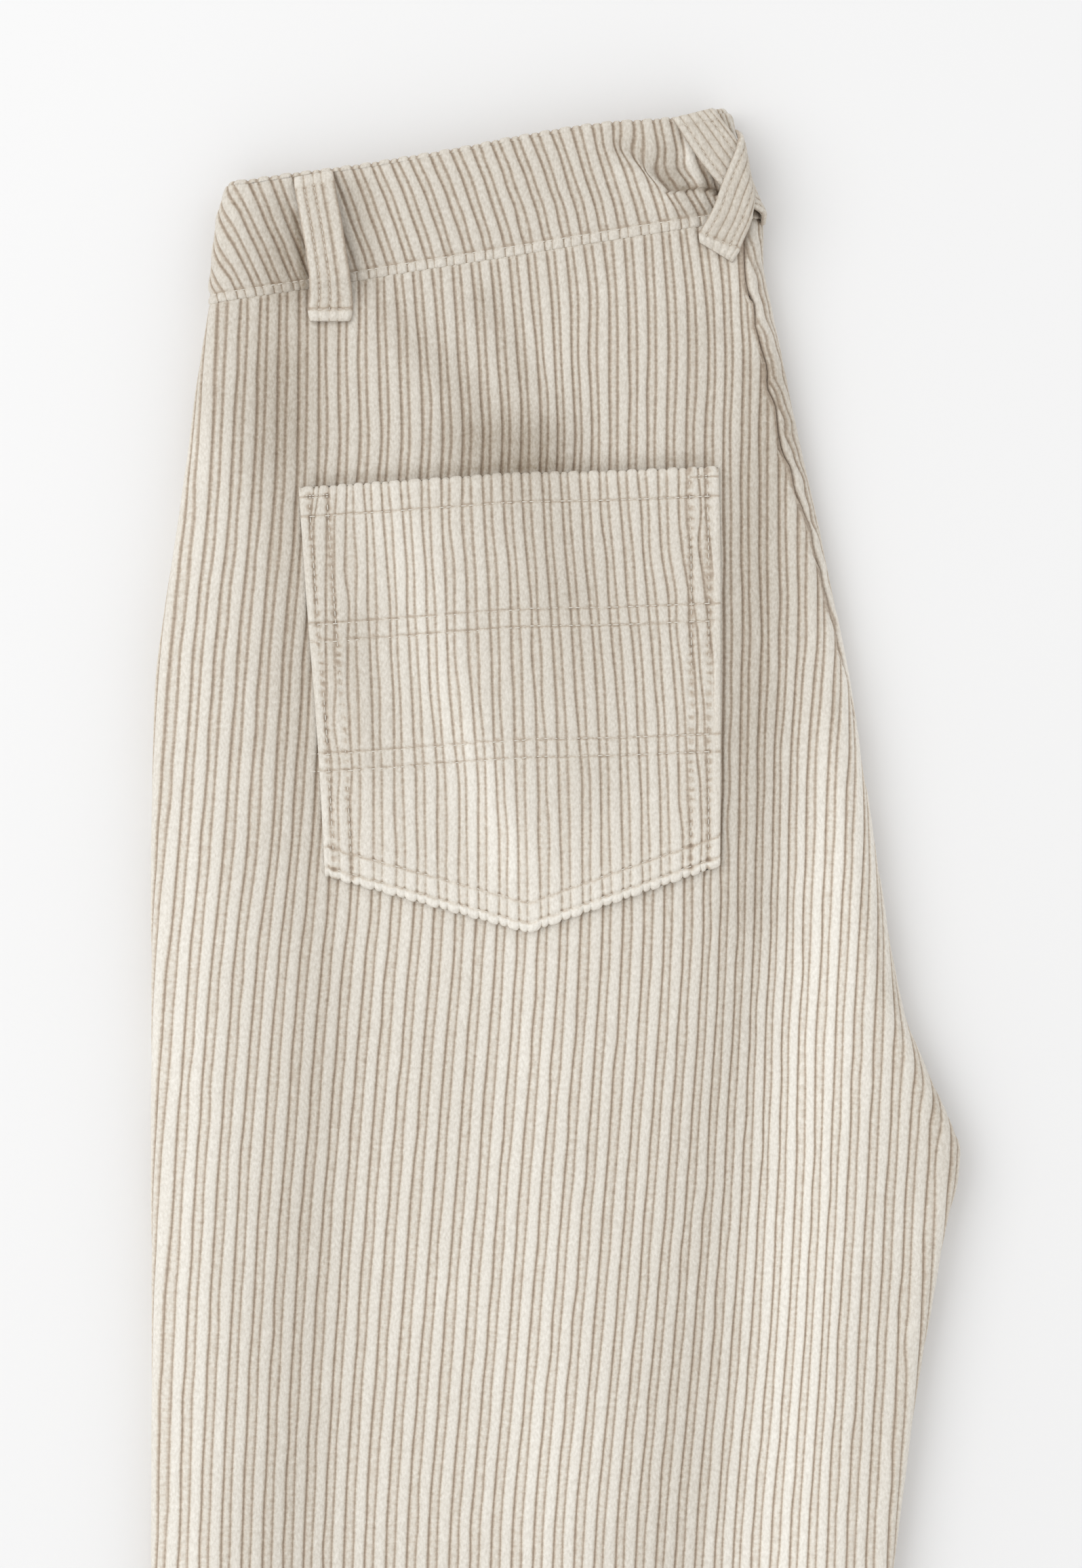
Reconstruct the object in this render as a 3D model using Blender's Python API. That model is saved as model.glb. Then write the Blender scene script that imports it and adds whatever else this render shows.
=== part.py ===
"""Wide and narrow wale corduroy trousers, folded in half along the centre seams and laid flat.

One leg lies on the other with the back outwards, so four layers of cloth are stacked.  The top
layer is the back of the upper leg, with its patch pocket, waistband and belt loops, each a wall
of its own.  The layers under it share one solid that is grooved at its edges where one layer ends
and the next begins.

Tables are in millimetres: +X runs from the outseam to the seat and inseam, +Y from hem to waist,
+Z up from the surface that the trousers lie on.
"""

import math

import bmesh
import bpy
import numpy as np
from mathutils import Vector

MM = 0.001
COLLECTION = "corduroy_trousers"

# ------------------------------------------------------------------ driving sizes, millimetres
CLOTH = 1.5  # ground of the corduroy, under the wales
BAND_CLOTH = 2.4  # the waistband is two plies
HEM_CLOTH = 2.4  # and so is the turned-up hem
HEM_Y = -510  # the hem is turned up to here
SEAM_GAP = 0.3  # between pieces that meet at a seam
LAYER_GAP = 0.9  # between the top layer and the layers under it
BAND_RISE = 0.8  # the waistband's fold stands this much above the leg

WALE_PITCH = 7.7  # one wide and one narrow wale
WIDE_RISE = 0.95
NARROW_RISE = 0.6
# One repeat of the corduroy: place across the pitch, rise above the groove.
WALE_PROFILE = (
    (0.00, 0.0),
    (0.12, WIDE_RISE),
    (0.47, WIDE_RISE),
    (0.59, 0.0),
    (0.79, NARROW_RISE),
)

# Plan of the folded pair: y, the outseam edge's x, the seat and inseam edge's x.
OUTLINE = (
    (-540, -141.0, 98.0),
    (-420, -143.5, 101.5),
    (-300, -145.5, 105.5),
    (-180, -147.5, 110.5),
    (-120, -148.4, 114.0),
    (-60, -149.1, 119.0),
    (2, -149.5, 125.7),
    (54, -149.5, 132.5),
    (99, -149.5, 139.8),
    (129, -149.5, 145.5),
    (146, -149.5, 149.4),
    (155, -149.5, 149.95),
    (163, -149.5, 147.6),
    (175, -149.5, 142.2),
    (190, -149.5, 135.6),
    (205, -149.5, 129.8),
    (220, -149.5, 126.4),
    (280, -149.3, 117.0),
    (325, -148.2, 110.0),
    (355, -144.6, 104.3),
    (385, -139.8, 98.0),
    (415, -135.4, 91.2),
    (445, -131.7, 85.0),
    (467, -128.2, 80.2),
    (482, -126.6, 77.4),
    (490, -125.8, 75.6),
    (497, -125.0, 73.0),
    (503, -123.8, 70.2),
    (508, -122.3, 68.7),
    (516, -119.2, 66.0),
    (528, -116.6, 66.6),
    (537, -114.6, 65.2),
    (540, -114.0, 63.2),
)

# Rows across: y at the outseam, y at the seat or inseam, share of the wales' full rise.
BAND_ROWS = (
    (513.0, 539.6, 0.15),
    (510.4, 537.0, 1.0),
    (500.0, 528.0, 1.0),
    (486.0, 516.0, 1.0),
    (471.2, 503.2, 1.0),
    (467.9, 499.9, 0.15),
)
LEG_ROWS = (
    (467.5, 499.5, 0.15),
    (464.0, 494.5, 1.0),
    (443, 457, 1.0),
    (420, 426, 1.0),
    (400, 400, 1.0),
    (365, 365, 1.0),
    (328, 328, 1.0),
    (285, 285, 1.0),
    (245, 245, 1.0),
    (210, 210, 1.0),
    (188, 188, 1.0),
    (168, 168, 1.0),
    (153, 153, 1.0),
    (134, 134, 1.0),
    (95, 95, 1.0),
    (0, 0, 1.0),
    (-180, -180, 1.0),
    (-508, -508, 1.0),
    (-519, -519, 0.7),
    (-536.6, -536.6, 1.0),
    (-539.6, -539.6, 0.15),
)

# Height of the top layer's ground above the floor, down the leg.
STACK = (
    (-540, 13.2),
    (-300, 14.2),
    (-100, 15.2),
    (60, 16.6),
    (180, 18.2),
    (300, 18.8),
    (430, 19.2),
    (470, 19.6),
    (540, 20.2),
)

# Soft folds of the top layer: name, half width, rise (a trough's is negative), and its line.
FOLDS = (
    ("outseam_ridge", 17, 1.5, ((-122, 430), (-124, 200), (-122, -300), (-116, -470))),
    ("outer_trough", 25, -2.3, ((-92, 300), (-76, 190), (-84, -160), (-84, -440))),
    ("middle_ridge", 33, 1.7, ((6, 225), (0, 40), (-22, -420))),
    ("inner_trough", 20, -2.4, ((88, 425), (82, 250), (62, 20), (42, -160), (30, -400))),
    ("inseam_ridge", 17, 1.5, ((100, 330), (112, 200), (103, 20), (84, -200), (74, -430))),
    ("pocket_ridge", 17, 1.6, ((-62, 392), (-10, 262))),
    ("mouth_dip", 17, -2.2, ((-34, 420), (2, 417))),
    ("slant_dip", 10, -1.0, ((-66, 462), (-28, 428))),
    ("loop_dip", 18, -2.4, ((-89, 503), (-85, 475))),
    ("crossing_dip", 9, -1.8, ((46, 515), (57, 505))),
    ("hip_trough", 12, -1.0, ((-20, 485), (-34, 440))),
)

# How far the wales lean, in per cent to the right for each unit up: y, then at five places
# evenly spaced from the outseam to the seat or inseam.
LEAN = (
    (-540, 1, 2, 2, 2, 1),
    (-150, 1, 3, 4, 4, 3),
    (0, 3, 6, 9, 9, 5),
    (60, 5, 7, 8, 9, 5),
    (150, 7, 8, 8, 7, 5),
    (210, 8, 10, 8, 6, 4),
    (250, 11, 12, 8, 2, 1),
    (300, 7, 6, 2, 0, 2),
    (370, 11, 8, 0, -2, 2),
    (430, 9, 3, -6, 1, 0),
    (500, 8, -2, -10, -2, -7),
)
LEAN_FROM_Y = 60  # the wales are evenly spaced at this height
LEAN_STEP = 8  # and are followed from it in steps of this length

# The seat seam, then the inseam: y, and how far round the edge from the top it lies, degrees.
SEAM_TURN = (
    (-540, 105),
    (190, 105),
    (250, 98),
    (304, 88),
    (326, 74),
    (351, 54),
    (385, 41),
    (415, 19),
    (500, 17),
)
OUTSEAM_TURN = 105  # degrees round the outseam edge from the top
FOLD_TURN = 148  # how far the piece under the seat seam goes round the fold
FORK_Y = (205, 160)  # the seat's single fold opens into two legs between these heights

# Half axes of the rounded edges: width, and height as a share of the stack.
LEG_ROLL = (7.0, 0.25)
SEAT_ROLL = (9.5, 0.5)

# The layers under the top one, downwards: share of the top layer's edge height, distance in from
# the edge.
LEG_LAYERS = (
    (0.955, 0.70),
    (0.935, 0.45),
    (0.910, 0.60),
    (0.860, 1.10),
    (0.790, 2.40),
    (0.755, 5.00),
    (0.710, 5.00),
    (0.670, 2.40),
    (0.600, 0.90),
    (0.480, 0.15),
    (0.380, 0.00),
    (0.350, 0.45),
    (0.175, 0.90),
    (0.060, 2.20),
    (0.000, 3.40),
)
# Round the seat's single fold they turn on from this angle; the last two levels lie flat under
# it, at this distance past the roll's start and this height.
FOLD_INNER_TURN = 112
LAST_TURNED = 12
FOLD_FOOT = ((3.0, 0.25), (2.2, 0.0))
END_LAYERS = (
    (0.655, 5.00),
    (0.640, 5.00),
    (0.620, 0.80),
    (0.560, 0.30),
    (0.480, 0.80),
    (0.455, 4.50),
    (0.430, 4.50),
    (0.405, 0.80),
    (0.330, 0.30),
    (0.245, 0.80),
    (0.220, 4.50),
    (0.195, 4.50),
    (0.170, 0.80),
    (0.030, 0.50),
    (0.000, 1.00),
)

# ------------------------------------------------------------------ materials
CORDUROY = ("corduroy", (0.71, 0.66, 0.56), 0.95)
CORDUROY_UNDER = ("corduroy_under", (0.62, 0.57, 0.48), 0.95)


def material(name, colour, roughness):
    """A plain Principled finish, made once for each name."""
    made = bpy.data.materials.get(name)
    if made is None:
        made = bpy.data.materials.new(name)
        made.use_nodes = True
        made.diffuse_color = (*colour, 1)
        shader = made.node_tree.nodes["Principled BSDF"]
        shader.inputs["Base Color"].default_value = (*colour, 1)
        shader.inputs["Roughness"].default_value = roughness
        shader.inputs["Metallic"].default_value = 0
    return made


# ------------------------------------------------------------------ curves through the tables
def smooth(table, column):
    """A function that runs smoothly through one column of a table, with no overshoot."""
    keys = np.array([row[0] for row in table], float)
    values = np.array([row[column] for row in table], float)
    widths = np.diff(keys)
    slopes = np.diff(values) / widths
    before, after = slopes[:-1], slopes[1:]
    same_way = before * after > 0
    tangents = np.zeros(len(keys))
    tangents[1:-1][same_way] = (2 * before * after)[same_way] / (before + after)[same_way]
    tangents[0], tangents[-1] = slopes[0], slopes[-1]

    def at(key):
        key = min(max(key, keys[0]), keys[-1])
        i = int(min(max(np.searchsorted(keys, key) - 1, 0), len(widths) - 1))
        t = (key - keys[i]) / widths[i]
        start = values[i] * (1 + 2 * t) * (1 - t) ** 2 + tangents[i] * widths[i] * t * (1 - t) ** 2
        end = values[i + 1] * t * t * (3 - 2 * t) + tangents[i + 1] * widths[i] * t * t * (t - 1)
        return float(start + end)

    return at


outseam_x = smooth(OUTLINE, 1)
inner_x = smooth(OUTLINE, 2)
stack_height = smooth(STACK, 1)
seam_turn = smooth(SEAM_TURN, 1)
lean_columns = [smooth(LEAN, column) for column in range(1, len(LEAN[0]))]


def between(low, high, value):
    """0 up to low, 1 from high on, and an even rise between them."""
    return min(max((value - low) / (high - low), 0.0), 1.0)


def from_line(x, y, line):
    """Distance of a point from a line of several straight parts."""
    best = math.inf
    for (x0, y0), (x1, y1) in zip(line, line[1:]):
        run = ((x - x0) * (x1 - x0) + (y - y0) * (y1 - y0)) / ((x1 - x0) ** 2 + (y1 - y0) ** 2)
        run = min(max(run, 0.0), 1.0)
        best = min(best, math.hypot(x - x0 - run * (x1 - x0), y - y0 - run * (y1 - y0)))
    return best


def drape(x, y):
    """Height of the top layer's ground, with its folds."""
    folds = (rise * math.exp(-((from_line(x, y, line) / half) ** 2)) for _, half, rise, line in FOLDS)
    return stack_height(y) + sum(folds)


# ------------------------------------------------------------------ rows across the folded pair
class Row:
    """One line across the pair, straight in plan, that rolls down over both edges.

    A place on it is u: x where the cloth lies flat, and past that the length round the edge.
    """

    def __init__(self, left_y, right_y, cloth=CLOTH, rise=0.0, relief=1.0):
        self.left_y, self.right_y = left_y, right_y
        self.left_x = outseam_x(left_y) + WIDE_RISE
        self.right_x = inner_x(right_y) - WIDE_RISE
        self.cloth, self.rise, self.relief = cloth, rise, relief
        self.legs_apart = 1 - between(FORK_Y[1], FORK_Y[0], right_y)
        seat, leg, apart = SEAT_ROLL, LEG_ROLL, self.legs_apart
        self.left_roll = LEG_ROLL
        self.right_roll = tuple(s + (e - s) * apart for s, e in zip(seat, leg))
        self.left_start = self.left_x + self.left_roll[0]
        self.right_start = self.right_x - self.right_roll[0]

    def y_at(self, x):
        share = (x - self.left_x) / (self.right_x - self.left_x)
        return self.left_y + share * (self.right_y - self.left_y)

    def roll(self, side):
        """(where the roll starts, its half width, its half height, the stack's height there)."""
        start, (wide, share) = (
            (self.left_start, self.left_roll) if side < 0 else (self.right_start, self.right_roll)
        )
        top = drape(start, self.y_at(start))
        return start, wide, share * top, top

    def at_turn(self, side, degrees):
        """u at that angle round an edge, measured from the top."""
        start, wide, high, _ = self.roll(side)
        return start + side * math.radians(degrees) * (wide + high) / 2

    def place(self, u, lift):
        """The point at u, lift above the ground along the cloth's own normal."""
        side = -1 if u < self.left_start else 1
        if self.left_start <= u <= self.right_start:
            y = self.y_at(u)
            return Vector((u, y, drape(u, y) + self.rise + lift)) * MM
        start, wide, high, top = self.roll(side)
        turn = abs(u - start) / ((wide + high) / 2)
        x = start + side * (wide + lift + self.rise) * math.sin(turn)
        z = top - high + (high + lift + self.rise) * math.cos(turn)
        return Vector((x, self.y_at(start + side * wide * math.sin(min(turn, math.pi / 2))), z)) * MM

    def under(self, side, level):
        """A point of the layers under the top one, at an edge."""
        edge_x = self.left_x if side < 0 else self.right_x
        start, wide, high, top = self.roll(side)
        share, inset = LEG_LAYERS[level]
        edge_z = self.place(self.at_turn(side, OUTSEAM_TURN), 0).z / MM
        leg = Vector((edge_x - side * inset, self.y_at(edge_x), share * edge_z))
        if side < 0:
            return leg * MM
        share = min(1, level / LAST_TURNED)
        turn = math.radians(FOLD_INNER_TURN + (FOLD_TURN - FOLD_INNER_TURN) * share)
        depth = self.cloth + LAYER_GAP
        fold_x = start + (wide - depth) * math.sin(turn)
        fold_z = top - high + (high - depth) * math.cos(turn)
        if level > LAST_TURNED:
            offset, fold_z = FOLD_FOOT[level - LAST_TURNED - 1]
            fold_x = start + offset
        fold = Vector((fold_x, self.y_at(edge_x), fold_z))
        return fold.lerp(leg, self.legs_apart) * MM


def lean_at(x, y):
    """The wales' lean at a point, as x for each unit of y."""
    last = len(lean_columns) - 1
    share = between(outseam_x(y), inner_x(y), x) * last
    first = min(int(share), last - 1)
    low, high = lean_columns[first](y), lean_columns[first + 1](y)
    return (low + (high - low) * (share - first)) / 100


def wale_line(start_x, heights):
    """x of one wale at each of the given heights, followed up and down from LEAN_FROM_Y."""
    found = {}
    for way in (1, -1):
        x, y = start_x, LEAN_FROM_Y
        ahead = [height for height in heights if (height - LEAN_FROM_Y) * way >= 0]
        for target in sorted(ahead, key=lambda height: height * way):
            steps = max(1, int(abs(target - y) / LEAN_STEP))
            for _ in range(steps):
                x += lean_at(x, y) * (target - y) / steps
            y = target
            found[target] = x
    return [found[height] for height in heights]


# ------------------------------------------------------------------ walls of ribbed cloth
def add_face(mesh, corners):
    """A triangle, left out where two of its corners are one point."""
    if len(set(corners)) == 3:
        mesh.faces.new(corners)


def fill_grid(mesh, rows):
    """Triangles between rows that have the same number of points."""
    for upper, lower in zip(rows, rows[1:]):
        for i in range(len(upper) - 1):
            add_face(mesh, (upper[i], lower[i], lower[i + 1]))
            add_face(mesh, (upper[i], lower[i + 1], upper[i + 1]))


def zip_up(mesh, first, second):
    """Triangles between two lines of (place, point) with unlike numbers of points."""
    i = j = 0
    while i < len(first) - 1 or j < len(second) - 1:
        step_first = j == len(second) - 1 or (
            i < len(first) - 1 and first[i + 1][0] <= second[j + 1][0]
        )
        if step_first:
            add_face(mesh, (first[i][1], first[i + 1][1], second[j][1]))
            i += 1
        else:
            add_face(mesh, (first[i][1], second[j + 1][1], second[j][1]))
            j += 1


def finish(mesh, name, finish_of):
    """The mesh as an object with its material, its faces turned outwards."""
    bmesh.ops.recalc_face_normals(mesh, faces=mesh.faces)
    data = bpy.data.meshes.new(name)
    mesh.to_mesh(data)
    mesh.free()
    data.materials.append(material(*finish_of))
    made = bpy.data.objects.new(name, data)
    bpy.data.collections[COLLECTION].objects.link(made)
    return made


SNAP = 0.4  # a wale line this near a cut edge is drawn to it


def ribbed_wall(name, rows, wales, plain, limits, finish_of=CORDUROY):
    """A wall with wales raised in its outer points over a plain inside.

    wales has (places row by row, rise) for each line of outer points, plain the places row by row
    of each inner line, and limits the first and last place in each row.  What lies past a limit
    is drawn in to it, so that wales run off the edge of the piece as the cloth is cut.
    """
    mesh = bmesh.new()

    def line(j, columns, side):
        low, high = limits[j]
        made, found = [], {}
        for u, lift in columns:
            u = min(max(u, low), high)
            if u - low < SNAP or high - u < SNAP:
                u, lift = (low, side) if u - low < high - u else (high, side)
            key = round(u, 4)
            if key not in found:
                found[key] = mesh.verts.new(rows[j].place(u, lift))
            made.append((u, found[key]))
        return made

    outer, inner = [], []
    for j, row in enumerate(rows):
        low, high = limits[j]
        ribs = [(low, 0.0), *((places[j], rise * row.relief) for places, rise in wales), (high, 0.0)]
        outer.append(line(j, ribs, 0.0))
        flat = [low, *(places[j] for places in plain), high]
        inner.append(line(j, [(u, -row.cloth) for u in flat], -row.cloth))
    fill_grid(mesh, [[v for _, v in points] for points in outer])
    fill_grid(mesh, [[v for _, v in points] for points in inner])
    for end in (0, -1):
        zip_up(mesh, outer[end], inner[end])
    for side in (0, -1):
        fill_grid(mesh, [[points[side][1] for points in grid] for grid in (outer, inner)])
    return finish(mesh, name, finish_of)


def wales_along(lines_at, first, last, pitch=WALE_PITCH, profile=WALE_PROFILE):
    """Outer lines for whole repeats from number first to last: lines_at(x) follows one line."""
    return [
        (lines_at((number + across) * pitch), rise)
        for number in range(first, last)
        for across, rise in profile
    ]


# Shares of the flat part of a row, and angles round its edges, for the plain side of the walls.
FLAT_SHARES = (0.08, 0.18, 0.28, 0.38, 0.48, 0.58, 0.68, 0.78, 0.86, 0.93)
ROLL_TURNS = (0, 30, 60, 85)


def plain_places(row):
    """Places across a row that follow its folds and both rolled edges."""
    span = row.right_start - row.left_start
    left = [row.at_turn(-1, turn) for turn in reversed(ROLL_TURNS)]
    right = [row.at_turn(1, turn) for turn in ROLL_TURNS]
    return [*left, *(row.left_start + share * span for share in FLAT_SHARES), *right]


def columns_of(rows):
    """The plain places of all rows, as lines that run down the leg."""
    return list(zip(*(plain_places(row) for row in rows)))


# ------------------------------------------------------------------ the pieces
def leg_rows():
    return [
        Row(left_y, right_y, HEM_CLOTH if right_y < HEM_Y else CLOTH, 0.0, relief)
        for left_y, right_y, relief in LEG_ROWS
    ]


def band_rows():
    return [Row(left_y, right_y, BAND_CLOTH, BAND_RISE, relief) for left_y, right_y, relief in BAND_ROWS]


def wales_of_leg(rows):
    """The wales of the back of the leg, followed from row to row."""

    def followed(x):
        middle = [row.y_at(x) for row in rows]
        places = wale_line(x, middle)
        middle = [row.y_at(place) for row, place in zip(rows, places)]
        return wale_line(x, middle)

    return wales_along(followed, -25, 24)


def back_leg():
    """The back of the upper leg: from the outseam over to the seat seam and the inseam."""
    rows = leg_rows()
    limits = [
        (row.at_turn(-1, OUTSEAM_TURN), row.at_turn(1, seam_turn(row.right_y)) - SEAM_GAP / 2)
        for row in rows
    ]
    ribbed_wall("back_leg_upper", rows, wales_of_leg(rows), columns_of(rows), limits)


SEAT_LEAN = -0.33  # the wales of the other leg's back, which is cut the mirror way
SEAT_LEAN_X, SEAT_LEAN_Y = 100, 400  # one of its grooves passes here
CLOSED_Y = 300  # from here up it goes the whole way round the fold
OPEN_SHARE = 0.35  # and at the fork only this share of the way


def back_leg_beyond_seam():
    """The other leg's back, where it comes round the fold to the seat seam."""
    rows = [row for row in leg_rows() if row.right_y > FORK_Y[0]]
    seam_x = [row.at_turn(1, seam_turn(row.right_y)) + SEAM_GAP / 2 for row in rows]
    limits = []
    for row, u in zip(rows, seam_x):
        closing = between(FORK_Y[0], CLOSED_Y, row.right_y)
        share = OPEN_SHARE + (1 - OPEN_SHARE) * closing
        seam = seam_turn(row.right_y)
        limits.append((u, row.at_turn(1, seam + (FOLD_TURN - seam) * share)))

    def followed(offset):
        return [SEAT_LEAN_X + offset + SEAT_LEAN * (row.right_y - SEAT_LEAN_Y) for row in rows]

    plain = [[low + share * (high - low) for low, high in limits] for share in (0.25, 0.5, 0.75)]
    wales = wales_along(followed, -9, 10)
    ribbed_wall("back_leg_under", rows, wales, plain, limits)


# The waistband's wales lean left going up, most of all where the band turns round the side:
# share of the way from the side to the centre back, lean.
BAND_LEAN = ((0.0, -0.46), (0.12, -0.42), (0.25, -0.3), (0.5, -0.2), (0.75, -0.22), (1.0, -0.34))
band_lean = smooth(BAND_LEAN, 1)
BAND_PITCH = 7.2


def waistband():
    """The back of the waistband, from the fold at the side round the fold at the centre back."""
    rows = band_rows()
    limits = [(row.at_turn(-1, OUTSEAM_TURN), row.at_turn(1, FOLD_TURN)) for row in rows]
    foot = rows[-1]

    def followed(x):
        lean = band_lean(between(foot.left_x, foot.right_x, x))
        return [x + lean * (row.y_at(x) - foot.y_at(x)) for row in rows]

    wales = wales_along(followed, -20, 15, BAND_PITCH)
    ribbed_wall("waistband", rows, wales, columns_of(rows), limits)


# The pocket's outline: share of the way up, left edge, right edge; and its V foot and its mouth.
POCKET_SIDES = (
    (0.0, -84.8, 60.8),
    (0.35, -87.6, 61.0),
    (0.7, -91.4, 61.0),
    (1.0, -94.4, 60.2),
)
POCKET_FOOT = ((-84.8, 256.7), (-10.0, 235.9), (60.8, 260.6))
POCKET_MOUTH = ((-94.4, 399.2), (-17.0, 404.6), (60.2, 407.0))
# Rows across the pocket: share of the way up, share of the wales' full rise.
POCKET_ROWS = (
    (0.0, 0.15),
    (0.025, 1.0),
    (0.065, 0.6),
    (0.1, 1.0),
    (0.4, 1.0),
    (0.7, 1.0),
    (0.89, 1.0),
    (0.93, 0.6),
    (0.975, 1.0),
    (1.0, 0.15),
)
POCKET_LIFT = WIDE_RISE + 0.8  # over the wales of the leg
POCKET_PITCH = 7.0
POCKET_LEAN = -0.06
MOUTH_OPEN = 2.0  # the mouth stands this much off the leg
MOUTH_FROM = 0.8  # from this share of the way up
pocket_left = smooth(POCKET_SIDES, 1)
pocket_right = smooth(POCKET_SIDES, 2)


def line_y(line, x):
    """y at x on a line of straight parts."""
    return float(np.interp(x, [p[0] for p in line], [p[1] for p in line]))


def ground_under(x, y):
    """The top layer's ground at a point, read off its own rows as its faces run."""
    heights = [row.y_at(x) for row in GROUND_ROWS]
    for row_y, next_y in zip(heights, heights[1:]):
        if next_y <= y <= row_y:
            share = (row_y - y) / (row_y - next_y)
            return drape(x, row_y) + share * (drape(x, next_y) - drape(x, row_y))
    return drape(x, y)


class PocketRow:
    """One line across the pocket, a share of the way from its V foot to its mouth."""

    cloth = CLOTH

    def __init__(self, share, relief):
        self.share, self.relief = share, relief
        self.low, self.high = pocket_left(share), pocket_right(share)

    def y_at(self, x):
        across = between(self.low, self.high, x)
        foot_x = POCKET_FOOT[0][0] + across * (POCKET_FOOT[2][0] - POCKET_FOOT[0][0])
        mouth_x = POCKET_MOUTH[0][0] + across * (POCKET_MOUTH[2][0] - POCKET_MOUTH[0][0])
        foot_y, mouth_y = line_y(POCKET_FOOT, foot_x), line_y(POCKET_MOUTH, mouth_x)
        return foot_y + self.share * (mouth_y - foot_y)

    def place(self, x, lift):
        y = self.y_at(x)
        opening = MOUTH_OPEN * between(MOUTH_FROM, 1.0, self.share)
        opening *= math.sin(math.pi * between(self.low, self.high, x))
        height = ground_under(x, y) + POCKET_LIFT + self.cloth + opening + lift
        return Vector((x, y, height)) * MM


def back_pocket():
    """The five-sided patch pocket, laid on the back of the leg."""
    rows = [PocketRow(share, relief) for share, relief in POCKET_ROWS]
    limits = [(row.low, row.high) for row in rows]

    def followed(x):
        return [x + POCKET_LEAN * (row.y_at(x) - POCKET_FOOT[0][1]) for row in rows]

    plain = [[low + number / 13 * (high - low) for low, high in limits] for number in range(1, 13)]
    ribbed_wall("back_pocket", rows, wales_along(followed, -14, 11, POCKET_PITCH), plain, limits)


# ------------------------------------------------------------------ belt loops
# Across a loop: share of the width from one edge, rise.  A stitched groove runs inside each edge.
LOOP_PROFILE = (
    (0.0, 0.0),
    (0.04, 0.55),
    (0.19, 0.7),
    (0.25, 0.1),
    (0.31, 0.65),
    (0.45, 0.65),
    (0.5, 0.15),
    (0.58, 0.5),
    (0.67, 0.1),
    (0.73, 0.7),
    (0.95, 0.55),
    (1.0, 0.0),
)
LOOP_CLOTH = 1.3


def skin_point(u, y, lift):
    """A point over the waistband or leg at place u and height y, lifted off the ground."""
    row = Row(y, y)
    flat_u = min(max(u, row.left_start), row.right_start)
    seam_y = SEAM_Y[0] + (flat_u - SEAM_X[0]) * (SEAM_Y[1] - SEAM_Y[0]) / (SEAM_X[1] - SEAM_X[0])
    row.rise = BAND_RISE * between(-2, 1, y - seam_y)
    return row.place(u, lift)


def belt_loop(name, route):
    """A strip of stitched corduroy along a route, a row for each cross line of the strip."""
    mesh = bmesh.new()
    outer, inner = [], []
    for number, (left_u, left_y, right_u, right_y, clear) in enumerate(route):
        relief = 0.15 if number in (0, len(route) - 1) else 1.0

        def point(share, lift):
            u = left_u + share * (right_u - left_u)
            y = left_y + share * (right_y - left_y)
            return skin_point(u, y, lift)

        face = clear + LOOP_CLOTH
        tops = [(share, point(share, face + rise * relief)) for share, rise in LOOP_PROFILE]
        feet = [(share, point(share, clear)) for share in (0.0, 0.25, 0.5, 0.75, 1.0)]
        outer.append([(share, mesh.verts.new(place)) for share, place in tops])
        inner.append([(share, mesh.verts.new(place)) for share, place in feet])
    fill_grid(mesh, [[v for _, v in points] for points in outer])
    fill_grid(mesh, [[v for _, v in points] for points in inner])
    for end in (0, -1):
        zip_up(mesh, outer[end], inner[end])
    for side in (0, -1):
        fill_grid(mesh, [[points[side][1] for points in grid] for grid in (outer, inner)])
    return finish(mesh, name, CORDUROY)


ON_WALES = WIDE_RISE + 0.35  # clearance of a piece that lies on the wales
SEAM_X, SEAM_Y = (-127.0, 77.0), (467.7, 499.7)  # the waistband's lower seam
# Routes from the top end down: left edge's place and y, right edge's, clearance underneath.
SIDE_LOOP = (
    (-96.2, 513.6, -81.8, 516.2, ON_WALES),
    (-95.7, 510.0, -81.2, 512.8, 3.1),
    (-94.7, 503.6, -80.0, 506.0, 5.8),
    (-93.4, 496.0, -78.4, 498.0, 6.7),
    (-91.8, 486.0, -76.8, 487.4, 6.8),
    (-90.6, 475.6, -75.4, 476.6, 6.0),
    (-90.6, 470.4, -74.9, 470.8, 3.6),
    (-91.2, 465.8, -74.4, 466.0, 1.7),
    (-90.6, 460.8, -75.2, 460.8, ON_WALES),
)
UNDER_LOOP = (
    (43.8, 534.3, 59.0, 537.4, ON_WALES + 0.2),
    (47.2, 528.6, 63.4, 532.8, ON_WALES + 0.4),
    (52.0, 521.6, 67.0, 527.5, ON_WALES + 0.4),
    (57.0, 515.0, 70.4, 522.2, ON_WALES + 0.4),
    (62.0, 508.6, 74.5, 516.2, ON_WALES + 0.7),
    (67.0, 502.4, 79.0, 510.5, ON_WALES + 0.6),
    (71.2, 497.2, 80.2, 504.2, 2.1),
    (74.6, 492.8, 82.0, 499.0, 2.1),
    (77.4, 489.0, 84.2, 494.8, ON_WALES),
)
OVER_LOOP = (
    (66.2, 536.4, 76.4, 534.2, ON_WALES + 0.2),
    (65.6, 533.2, 77.0, 530.5, 3.4),
    (64.8, 529.0, 77.0, 525.8, 4.5),
    (63.2, 522.5, 76.4, 519.2, 4.7),
    (61.2, 515.5, 75.2, 512.0, 4.7),
    (59.4, 508.5, 73.4, 505.0, 4.7),
    (57.6, 501.5, 71.4, 498.0, 4.9),
    (55.6, 496.8, 69.6, 492.6, 3.2),
    (53.8, 493.6, 68.4, 488.6, 1.7),
    (52.8, 491.6, 67.6, 486.4, ON_WALES),
)


# ------------------------------------------------------------------ the layers underneath
TOP_INSET = 1.5  # the solid's top stops this far short of the waist and of the hem
RIM_STEP = 0.4  # least distance between its points along both ends


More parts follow.
